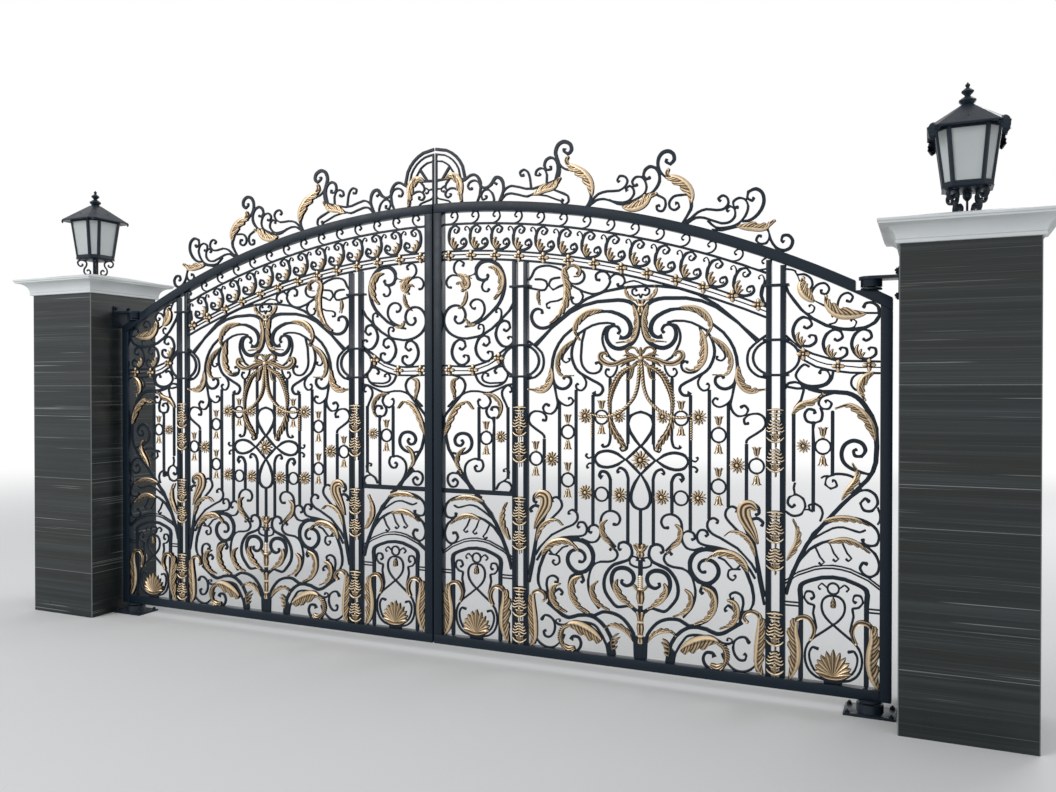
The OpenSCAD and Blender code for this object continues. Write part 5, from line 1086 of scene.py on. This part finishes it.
# Swags: a bow of flat gilt ribbon, two leaf garlands and two smooth cords that hang
# from its knot over the pickets, and a string of beads under each picket rosette.
# Each line is given with its width, height and form.
BOW = [
    ([(1173, 1616), (1130, 1614), (1090, 1604), (1050, 1587), (1014, 1584), (982, 1597), (964, 1617),
      (968, 1637), (986, 1642), (1001, 1632), (1000, 1620)], 24, 10, FOLDED, 0.5, 0.35, 0.66),
    ([(1170, 1620), (1140, 1624), (1112, 1634), (1103, 1651), (1122, 1666), (1150, 1662), (1166, 1636)],
     12, 8, FOLDED, 0.6, 0.6, 0.5),
    ([(1162, 1600), (1140, 1578), (1131, 1545), (1120, 1514), (1100, 1504)], 15, 8, FOLDED, 0.5, 0.2, 0.6),
    ([(1146, 1606), (1106, 1596), (1070, 1568)], 13, 9),
    ([(1150, 1626), (1116, 1634), (1084, 1624)], 13, 9)]
GARLAND = [
    ([(1160, 1584), (1112, 1561), (1071, 1530), (1042, 1483), (1024, 1438), (1015, 1390), (1015, 1346)],
     36, 10.5, 15.0),
    ([(1015, 1350), (1020, 1302), (1034, 1260), (1059, 1220), (1084, 1180), (1094, 1162)], 42, 10.5, 30.0)]
CORD = [(1172, 1600), (1167, 1528), (1160, 1469), (1143, 1420), (1112, 1380), (1070, 1345), (1020, 1325),
        (967, 1319), (922, 1330)]
CORD_ACROSS, TWIST = (-1.0, -0.7, -0.35, 0.0, 0.35, 0.7, 1.0), 15.0
BEADS, BEAD_PITCH = 9, 11.5


def rope(casting, points, width, height):
    """Twisted cord, half round, along a line"""
    line, ways, length = along(points, 4.2)
    rows, low = [], []
    for i, (p, t) in enumerate(zip(line, ways)):
        u = i / (len(line) - 1)
        normal = square_to(t)
        taper = min(1.0, 0.55 + 6 * min(u, 1 - u))
        row, dips = [], []
        for v in CORD_ACROSS:
            strand = 0.5 + 0.5 * math.cos(2 * math.pi * (length * u / TWIST + v * 0.45))
            at = p + normal * v * width / 2 * taper
            rise = height * taper * math.sqrt(max(0.02, 1 - v * v * 0.97)) * (0.80 + 0.20 * strand)
            row.append((at[0], at[1], max(0.5, rise)))
            # Darker between the strands and down the sides of the cord, partly patina and partly painted
            # shade
            dips.append(min(1.0, 0.75 * (1 - strand) ** 2 + 0.4 * abs(v) ** 4))
        rows.append(row)
        low.append(dips)
    casting.grid(rows, low)


swags = Casting()
for way in (-1, 1):
    for points, *sizes in BOW:
        blade(swags, doubled(points, way), *sizes)
    for points, width, height, tooth in GARLAND:
        feathered(swags, doubled(points, way), width, height, tooth, cut=0.5, curl=False)
    rope(swags, doubled(CORD, way), 15, 9)
    for k in range(BEADS):
        knob(swags, doubled([(920, 1306 - BEAD_PITCH * k)], way)[0], 6.4 - 0.15 * k, 7.5, 10, 3)
    knob(swags, doubled([(1092, 1160)], way)[0], 9, 9, 10, 3)
knob(swags, (PANEL_MID, 1612), 15, 13, 16, 5)
blade(swags, [(PANEL_MID, 1616), (PANEL_MID, 1640), (PANEL_MID, 1670)], 18, 10)
for hand, side in HANDS:
    piece = swags.on_leaf(f"{hand}_swags", side)
    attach(piece, f"{hand}_leaf")
    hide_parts(f"{hand}_ribbons")

# Posts: a core faced with polished dark stone, streaked level like wood grain, in
# courses 598 high above a cut one, with mitred corners whose sawn edges show pale.
POSTS, SLAB_SEEDS = (0.0, 5.274), (17, 51)
POST_HALF, POST_HEIGHT = 0.264, 2.06966
COURSE_JOINTS = (0.282, 0.880, 1.478)
ARRIS, JOINT, JOINT_DEPTH, JOINT_LIP = 0.0042, 0.0034, 0.0012, 0.0002
SLAB_SHIFT, SLAB_MARK = (3.1, 2.3, 1.7), (1, 0.61, 0.37)
FINE_GRAIN = (0.45, 0.45, 210.0)

stone, tree, shader = new_material("streaked_stone")
slab = add_node(tree, "ShaderNodeAttribute", attribute_name="slab").outputs["Vector"]
mark = add_node(tree, "ShaderNodeAttribute", attribute_name="arris").outputs["Fac"]
where = add_node(tree, "ShaderNodeTexCoord").outputs["Object"]
shifted = add_node(tree, "ShaderNodeVectorMath", {0: slab, 1: SLAB_SHIFT, 2: where}, operation="MULTIPLY_ADD")


def streaks(stretch, detail, low, high, tilt=0.0):
    """Level streaks over the stone, 0 to 1"""
    lie = {"Vector": shifted.outputs[0], "Scale": stretch, "Rotation": (tilt, tilt * 0.7, 0)}
    laid = add_node(tree, "ShaderNodeMapping", lie).outputs[0]
    inputs = {"Vector": laid, "Scale": 1.0, "Detail": detail, "Roughness": 0.55}
    return ramp(tree, add_node(tree, "ShaderNodeTexNoise", inputs).outputs["Fac"], low, high)


colour = blend_colours(tree, streaks((0.5, 0.5, 2.2), 3.0, 0.34, 0.66), (0.0085, 0.0140, 0.0165),
                       (0.0130, 0.0155, 0.0140))
vein = maths(tree, "MULTIPLY", streaks((0.5, 0.5, 120.0), 1.0, 0.655, 0.70, 0.010),
             streaks((1.6, 1.6, 5.0), 1.0, 0.46, 0.62))
for layer, strength, tint in (
        (streaks((0.30, 0.30, 26.0), 5.0, 0.42, 0.70, 0.004), 0.75, (0.034, 0.043, 0.046)),
        (streaks((0.35, 0.35, 48.0), 4.0, 0.52, 0.70, 0.006), 0.70, (0.006, 0.008, 0.009)),
        (streaks(FINE_GRAIN, 2.0, 0.55, 0.74, 0.003), 0.60, (0.070, 0.083, 0.084)),
        (vein, 0.80, (0.26, 0.28, 0.27)), (mark, 1.0, (0.21, 0.23, 0.23))):
    colour = blend_colours(tree, maths(tree, "MULTIPLY", layer, strength), colour, tint)
feed(tree, shader, {
    "Base Color": dusted(tree, colour, (0.22, 0.21, 0.19), 0.15, 5.0),
    "Roughness": spread(tree, noise_at(tree, 6.0), 0.26, 0.40), "Specular IOR Level": 0.37,
    "Normal": bumped(tree, streaks(FINE_GRAIN, 2.0, 0.3, 0.7), 0.06)})


def post_mesh(name, x0, seed):
    """Shaft of four courses with fine recessed joints; each face of a course is a slab of its own"""
    a, b = POST_HALF, POST_HALF - ARRIS
    corner = [(b, -a), (a, -b), (a, b), (b, a), (-b, a), (-a, b), (-a, -b), (-b, -a)]
    levels = [(1.0, 0.0)]
    for z in COURSE_JOINTS:
        low, high, deep = z - JOINT / 2, z + JOINT / 2, 1 - JOINT_DEPTH / a
        levels += [(1.0, low), (deep, low + JOINT_LIP), (deep, high - JOINT_LIP), (1.0, high)]
    levels.append((1.0, POST_HEIGHT))
    points, faces, arris, slab = [], [], [], []
    skin(points, faces, [[(x0 + x * r, y * r, z) for x, y in corner] for r, z in levels])
    for k in range(len(levels) - 1):
        for j in range(8):
            arris.append(0.9 if k % 4 else (0.0 if j % 2 else 0.8))
            slab.append(seed + (k // 4) * 4 + j // 2 + 1)
    mesh = new_mesh(name, points, faces, stone)
    marks = mesh.attributes.new("arris", "FLOAT", "FACE"), mesh.attributes.new("slab", "FLOAT_VECTOR", "FACE")
    marks[0].data.foreach_set("value", arris + [0.0, 0.0])
    marks[1].data.foreach_set("vector", [s * c for s in slab + [0.0, 0.0] for c in SLAB_MARK])
    return mesh


for (hand, _), x, seed in zip(HANDS, POSTS, SLAB_SEEDS):
    name = f"{hand}_post_cladding"
    piece = add_object(name, post_mesh(name, x, seed))
    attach(piece, "posts")
    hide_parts(f"{hand}_post")

# Caps: cast mouldings painted a cool off-white, mitred at the corners: a bed bead,
# a cove, a fillet and a plain corona, with a slope on top that sheds the rain.
cornice, tree, shader = new_material("cornice_paint")
weather = blend_colours(tree, noise_at(tree, 5.0, 6.0, (1, 1, 3)), (0.66, 0.69, 0.70), (0.76, 0.785, 0.785))
feed(tree, shader, {
    "Base Color": dusted(tree, weather, (0.42, 0.42, 0.40), 0.5, 6.0), "Roughness": 0.55,
    "Specular IOR Level": 0.35, "Normal": bumped(tree, noise_at(tree, 150.0, 4.0), 0.12)})

CAP_FOOT = POST_HEIGHT + 0.0002
COVE_TURNS = [math.pi / 2 * k / 12 for k in range(13)]
COVE = [(68 - 54 * math.cos(a), 18 + 58 * math.sin(a)) for a in COVE_TURNS]
# How far each step of the moulding stands out from the post, and its height
CAP_LINE = [(0, 0), (11, 0), (13, 1.5), (13.8, 4), (13.8, 11), (13, 14), (11, 15.5), (11, 17), *COVE,
            (69, 76.5), (71, 77.3), (76, 78), (77.5, 79), (78, 81), (78, 86.5), (80, 87.5), (83, 88.2),
            (84, 90), (84, 95.5), (83.2, 97.5), (81, 98.8), (70, 101.5), (20, 109), (-118.8, 137.6)]
for (hand, side), x in zip(HANDS, POSTS):
    points, faces = [], []
    rings = [(POST_HALF + out / 1000, CAP_FOOT + z / 1000) for out, z in CAP_LINE]
    skin(points, faces, [[(x - r, -r, z), (x + r, -r, z), (x + r, r, z), (x - r, r, z)] for r, z in rings])
    name = f"{hand}_cap_moulding"
    piece = add_object(name, new_mesh(name, points, faces, cornice))
    smooth_below(piece.data, 32)
    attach(piece, "posts")
    if hand == "right":
        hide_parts("post_caps")

# Lanterns: a square cage with cut corners, of angle bars, on a turned stem with four
# scroll feet, under a hipped sheet roof with a finial and a curled leaf at each corner.
LANTERN_FOOT = 2.20806
CAGE_FOOT, CAGE_HEAD = (97, 38, 120), (127, 45, 372)        # half width, cut of the corners and height
ROOF_FOOT, ROOF_HEAD = (160, 42, 374), (28, 8, 478)
ROOF = [(118, 42, 370), (156, 42, 365), (160, 42, 365), (161, 42, 367), (161, 42, 372), (159, 41.7, 374),
        ROOF_HEAD, (25, 8, 478)]
SCROLL_FOOT = [(83, 86), (77, 79), (91, 70), (105, 81), (107, 99), (93, 111), (69, 108), (55, 95), (56, 75),
               (69, 52), (69, 30), (58, 17), (41, 15), (32, 25), (34, 41), (45, 48), (53, 39)]
FOOT_BAR = (10, 16)
BASE = [(61, 0), (62, 1), (62, 6), (58, 9), (20, 10.5)]
PIPE_STEM = [(17, 8), (17, 100), (20, 106), (34, 112), (60, 114)]
BULB_STEM = [(5, 8), (5, 66), (9, 70), (17, 80), (19, 91), (17, 101), (20, 106), (34, 112), (60, 114)]
TRAY = [(64, 24, 108), (88, 34, 112), (94, 36, 119)]
ANGLE_BAR = [(-1, 0), (3.4, 10.5), (7, 9.5), (3.2, 0), (7, -9.5), (3.4, -10.5)]
# Hoops round the cage: height of the foot, depth, height and how far it stands out
HOOPS = ((119, 12, 22, 1.5), (116, 30, 4, 4), (358, 9, 15, 1.5))
ROOF_STUD, STUD_AT = ((4, 0), (4, 2.2), (2.4, 3.6)), 410
FINIAL = [(27, 477), (27, 480), (24, 483), (37, 498), (38, 500.5), (36, 503), (14, 519), (11, 522), (14, 526),
          (26, 538), (27, 540.5), (25, 543), (9, 556), (6.5, 559), (9, 563), (11, 567), (9, 571), (3, 578),
          (1.5, 580.8)]
EAVE_LEAF = [(176, 383), (194, 381), (208, 371), (215, 355), (213, 338), (206, 322), (196, 314)]
EAVE_TIP, LEAF_HALF, LEAF_DROP, SHEET = (196, 372), 33, 30.0, 1.3
SHEET_ACROSS = (-1, -0.66, -0.33, 0, 0.33, 0.66, 1)


def plan(half, cut):
    """Square with cut corners"""
    b = half - cut
    return [(half, -b), (half, b), (b, half), (-b, half), (-half, b), (-half, -b), (-b, -half), (b, -half)]


def between(a, b, z):
    """Level of a form between two of its levels, at a height"""
    t = (z - a[2]) / (b[2] - a[2])
    return tuple(p + (q - p) * t for p, q in zip(a, b))


def heading_at(line, i):
    """Direction of a line of points at one of them"""
    (x0, y0), (x1, y1) = line[max(0, i - 1)], line[min(len(line) - 1, i + 1)]
    t = np.array((x1 - x0, y1 - y0), float)
    return t / max(1e-6, np.hypot(*t))


class Metalwork:
    """Points and faces of several parts in mm round the lantern's own middle"""

    def __init__(self):
        self.points, self.faces = [], []

    def turned(self, profile, sides, spin=0.0):
        """Turned part, or one of few sides, from radius and height points"""
        turns = [spin + 2 * math.pi * k / sides for k in range(sides)]
        rings = [[(r * math.cos(a), r * math.sin(a), z) for a in turns] for r, z in profile]
        skin(self.points, self.faces, rings)

    def stacked(self, levels):
        """Sheet form through squares with cut corners: half width, cut and height of each"""
        rings = [[(x, y, z) for x, y in plan(half, cut)] for half, cut, z in levels]
        skin(self.points, self.faces, rings)

    def swept(self, line, section, turn):
        """Section of offsets along a line of radius and height points, in the plane at a turn"""
        c, s = math.cos(turn), math.sin(turn)
        rings = []
        for i, (r, z) in enumerate(line):
            t = heading_at(line, i)
            spots = [(r - t[1] * across, aside, z + t[0] * across) for across, aside in section]
            rings.append([(pr * c - aside * s, pr * s + aside * c, pz) for pr, aside, pz in spots])
        skin(self.points, self.faces, rings)

    def object(self, name, x, degrees):
        points = [(x + p[0] / 1000, p[1] / 1000, LANTERN_FOOT + p[2] / 1000) for p in self.points]
        made = add_object(name, new_mesh(name, points, self.faces, iron_paint))
        face_out(made.data)
        smooth_below(made.data, degrees)
        return made


def flat_bar(thick, wide, ease=1.2):
    t, w = thick / 2, wide / 2
    return [(t - ease, -w), (t, ease - w), (t, w - ease), (t - ease, w),
            (ease - t, w), (-t, w - ease), (-t, ease - w), (ease - t, -w)]


def smooth_line(points, pitch):
    return [tuple(p) for p in along(points, pitch)[0]]


def lantern_metal(stem):
    made = Metalwork()
    made.turned(BASE, 8, math.pi / 8)
    made.turned(stem, 24)
    for k in range(4):
        made.swept(smooth_line(SCROLL_FOOT, 4.0), flat_bar(*FOOT_BAR), (k + 0.5) * math.pi / 2)
    made.stacked(TRAY)
    for (x0, y0), (x1, y1) in zip(plan(*CAGE_FOOT[:2]), plan(*CAGE_HEAD[:2])):
        line = [(math.hypot(x0, y0) + 1, CAGE_FOOT[2]), (math.hypot(x1, y1) + 1, CAGE_HEAD[2])]
        made.swept(line, ANGLE_BAR, math.atan2(y0, x0))
    for z, deep, tall, out in HOOPS:
        half, cut, _ = between(CAGE_FOOT, CAGE_HEAD, z)
        inside, edge = (half - deep, cut - deep * 0.6), (half + out + 1.5, cut)
        made.stacked([(*inside, z), (half + out, cut, z), (*edge, z + 1.5), (*edge, z + tall - 1.5),
                      (half + out, cut, z + tall), (*inside, z + tall)])
    made.stacked(ROOF)
    r, _, z = between(ROOF_FOOT, ROOF_HEAD, STUD_AT)
    for turn in (k * math.pi / 2 for k in range(4)):
        c, s, rings = math.cos(turn), math.sin(turn), []
        for w, h in ROOF_STUD:
            ring = [(r + w * math.cos(b), w * math.sin(b), z + h - 0.8 * w * math.cos(b)) for b in
                    (2 * math.pi * j / 8 for j in range(8))]
            rings.append([(x * c - y * s, x * s + y * c, level) for x, y, level in ring])
        skin(made.points, made.faces, rings)
    made.turned(FINIAL, 8, math.pi / 8)
    return made


def eave_leaf(made, turn, size):
    """Sheet leaf rolled down from a corner of the eaves, with toothed sides and a turned back"""
    (r0, z0), m = EAVE_TIP, len(SHEET_ACROSS)
    line = smooth_line([(r0 + (r - r0) * size, z0 + (z - z0) * size) for r, z in EAVE_LEAF], 5.0)
    n, c, s = len(line) - 1, math.cos(turn), math.sin(turn)
    skins = []
    for thick in (SHEET, -SHEET):
        skins.append(len(made.points))
        for i, (r, z) in enumerate(line):
            u, t = i / n, heading_at(line, i)
            tooth = 1 - 0.30 * ((i / TOOTH_STEPS) % 1.0)
            wide = size * LEAF_HALF * math.sin(math.pi * (0.20 + 0.70 * u)) ** 0.6 * tooth
            curl = 0.35 + 0.65 * math.sin(math.pi * min(1.0, u * 1.25))
            for v in SHEET_ACROSS:
                lift = size * (5.0 * (1 - abs(v)) ** 2 - LEAF_DROP * abs(v) ** 1.5 * curl) + thick
                pr, pz = r - t[1] * lift, z + t[0] * lift
                made.points.append((pr * c - v * wide * s, pr * s + v * wide * c, pz))
    f, g = skins
    for i in range(n):
        for j in range(m - 1):
            a, b = f + i * m + j, g + i * m + j
            made.faces += [(a, a + 1, a + m + 1, a + m), (b + m, b + m + 1, b + 1, b)]
        for j in (0, m - 1):
            a, b = f + i * m + j, g + i * m + j
            made.faces.append((a, a + m, b + m, b))
    for start in (0, n * m):
        for j in range(start, start + m - 1):
            made.faces.append((f + j, g + j, g + j + 1, f + j + 1))


# The left lantern has only the small hooks of its leaves left
LANTERN_KINDS = ((PIPE_STEM, 0.34), (BULB_STEM, 1.0))
for (hand, side), x, (stem, size) in zip(HANDS, POSTS, LANTERN_KINDS):
    metal = lantern_metal(stem)
    for k in range(4):
        eave_leaf(metal, (k + 0.5) * math.pi / 2, size)
    piece = metal.object(f"{hand}_lantern_metal", x, 22)
    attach(piece, "posts")
    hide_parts(f"{hand}_lantern")

# Lantern panes: rolled glass with an even frost, eight in each lantern, let in
# behind the angle bars of its cage, which hold them along their edges.
PANE_IN, PANE_THICK, PANE_FROM, PANE_TO = 3.5, 3.0, 138, 360
frost, tree, shader = new_material("frosted_pane")
feed(tree, shader, {
    "Base Color": blend_colours(tree, noise_at(tree, 7.0), (0.60, 0.645, 0.64), (0.70, 0.74, 0.73)),
    "Roughness": 0.42, "Transmission Weight": 0.25, "Normal": bumped(tree, noise_at(tree, 330.0, 2.0), 0.3)})
points, faces = [], []
levels = [between(CAGE_FOOT, CAGE_HEAD, z) for z in (PANE_FROM, PANE_TO)]
outer, inner = ([[(px, py, z) for px, py in plan(half - inset, cut - 0.6 * inset)] for half, cut, z in levels]
                for inset in (PANE_IN, PANE_IN + PANE_THICK))
for x in POSTS:
    for k in range(8):
        j = (k + 1) % 8
        rings = [[rim[0][k], rim[0][j], rim[1][j], rim[1][k]] for rim in (inner, outer)]
        skin(points, faces, [[(x + px / 1000, py / 1000, LANTERN_FOOT + z / 1000) for px, py, z in ring]
                             for ring in rings])
panes = add_object("lantern_panes", new_mesh("lantern_panes", points, faces, frost))
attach(panes, "posts")
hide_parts("lantern_glass")

# Frames: square tube, mitred and welded, with its drawn edges a little round; the
# top rail is bent to its arch. Pivots, brackets and ground plates are plate and round bar.
# Each part with how far its corners are eased
FRAME_PARTS = (("hinge_stile", 0.0030), ("meeting_stile", 0.0030), ("bottom_rail", 0.0030),
               ("top_rail", 0.0030), ("inner_pilaster", 0.0020), ("outer_pilaster", 0.0020),
               ("pivot_pins", 0.0012), ("hinge_brackets", 0.0014))
PIN_AXES, PIN_REACH, PIN_PLAY = (0.386, 4.888), 0.0185, 0.98
FLAT, CORNER = math.radians(0.8), math.radians(28)


def dressed(name, source, ease):
    """Copy of a node's shape with flats made whole and corners eased, as a piece of its own"""
    shaped = bmesh.new()
    shaped.from_mesh(source.data)
    bmesh.ops.remove_doubles(shaped, verts=shaped.verts, dist=WELD)
    bmesh.ops.recalc_face_normals(shaped, faces=shaped.faces)
    bmesh.ops.dissolve_limit(shaped, angle_limit=FLAT, verts=shaped.verts, edges=shaped.edges)
    inner = [edge for edge in shaped.edges if len(edge.link_faces) == 2]
    corners = [edge for edge in inner if edge.calc_face_angle(0) > CORNER]
    bmesh.ops.bevel(shaped, geom=corners, offset=ease, segments=2, profile=0.5, affect="EDGES",
                    clamp_overlap=True)
    bmesh.ops.triangulate(shaped, faces=[face for face in shaped.faces if len(face.verts) > 4])
    mesh = bpy.data.meshes.new(name)
    shaped.to_mesh(mesh)
    shaped.free()
    mesh.materials.append(iron_paint)
    smooth_below(mesh, 40)
    return add_object(name, mesh)


for (hand, side), axis in zip(HANDS, PIN_AXES):
    for part, ease in FRAME_PARTS:
        piece = dressed(f"{hand}_{part}_dressed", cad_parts[f"{hand}_{part}"], ease)
        if part == "pivot_pins":                # room for the pins' flat facets to turn in their bores
            for v in piece.data.vertices:
                if math.hypot(v.co.x - axis, v.co.y - LEAF_Y) < PIN_REACH:
                    v.co.x, v.co.y = axis + (v.co.x - axis) * PIN_PLAY, LEAF_Y + (v.co.y - LEAF_Y) * PIN_PLAY
        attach(piece, "posts" if part == "hinge_brackets" else f"{hand}_leaf")
        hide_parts(f"{hand}_{part}")

# Foot webs: plates let in between the bars where they meet over the bottom rail, and
# the light bent bar that carries the gilt arch beside each of them.
FOOT_WEBS = ([(1006, 110.5), (1032, 110.5), (1029, 150), (1018, 186), (1000, 168), (1005, 140)],
             [(1155, 110.5), (1168, 110.5), (1168, 224), (1147, 224), (1155, 190)])
FOOT_ARCH, ARCH_BAR = [(1143, 196), (1121, 231), (1090, 256), (1052, 267), (1014, 262), (992, 248)], 11
WEB_HALF, ARCH_HALF = 6.0, 8.0
bent, ways, _ = along(FOOT_ARCH, 8.0)
across = np.stack([-ways[:, 1], ways[:, 0]], 1) * ARCH_BAR / 2
arch_steps = [[a + x, b + y, b - y, a - x] for a, b, x, y in zip(bent, bent[1:], across, across[1:])]
plates = [(web, WEB_HALF) for web in FOOT_WEBS] + [(step, ARCH_HALF) for step in arch_steps]
for hand, side in HANDS:
    points, faces = [], []
    for way in (-1, 1):
        for outline, half in plates:
            flat = [(SEAM_X + side * x / 1000, z / 1000) for x, z in doubled(outline, way)]
            skin(points, faces, [[(x, LEAF_Y + y / 1000, z) for x, z in flat] for y in (-half, half)])
    name = f"{hand}_foot_webs"
    piece = add_object(name, new_mesh(name, points, faces, iron_paint))
    face_out(piece.data)
    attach(piece, f"{hand}_leaf")

# Fixings: studs with hex nuts and washers, which hold the ground plates down and the
# upper brackets to the posts.
GROUND_PLATE, ANCHOR_X, ANCHOR_Y = 0.010, 0.092, 0.062
WALL_PLATE, PLATE_EDGE, PLATE_AT, ABOVE_FOOT = 0.008, 0.015, 0.122, 1.0
WASHER = [(12.5, 0), (12.5, 2), (11.8, 2.6), (7, 2.6)]
NUT = [(8, 2.5), (10.6, 2.9), (11, 3.6), (11, 9.4), (10.4, 10.3), (7, 10.6)]
STUD = [(5.4, 10.4), (5.4, 14.6), (4.6, 15.6), (1, 15.6)]
fixing = Metalwork()
for profile, sides in ((WASHER, 24), (NUT, 6), (STUD, 16)):
    fixing.turned(profile, sides)
nut = new_mesh("hex_nut", [(x / 1000, y / 1000, z / 1000) for x, y, z in fixing.points], fixing.faces)
smooth_below(nut, 30)
for (hand, side), axis in zip(HANDS, PIN_AXES):
    marks = [((axis + i * ANCHOR_X, LEAF_Y + j * ANCHOR_Y, GROUND_PLATE), (0, 0, 0.4 * i + j), (1, 1, 1))
             for i in (-1, 1) for j in (-1, 1)]
    bracket = np.array([v.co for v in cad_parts[f"{hand}_hinge_brackets"].data.vertices])
    on_post = np.abs(bracket[:, 0] - (axis + side * PLATE_AT)) < 0.002
    wall = bracket[on_post & (bracket[:, 2] > ABOVE_FOOT)]
    (y0, z0), (y1, z1) = wall[:, 1:].min(0) + PLATE_EDGE, wall[:, 1:].max(0) - PLATE_EDGE
    marks += [((axis + side * (PLATE_AT - WALL_PLATE), y, z), (0, -side * math.pi / 2, 0), (1, 1, 1))
              for y in (y0, y1) for z in (z0, z1)]
    piece = set_out(f"{hand}_fixings", nut.copy(), marks, iron_paint)
    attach(piece, "posts")
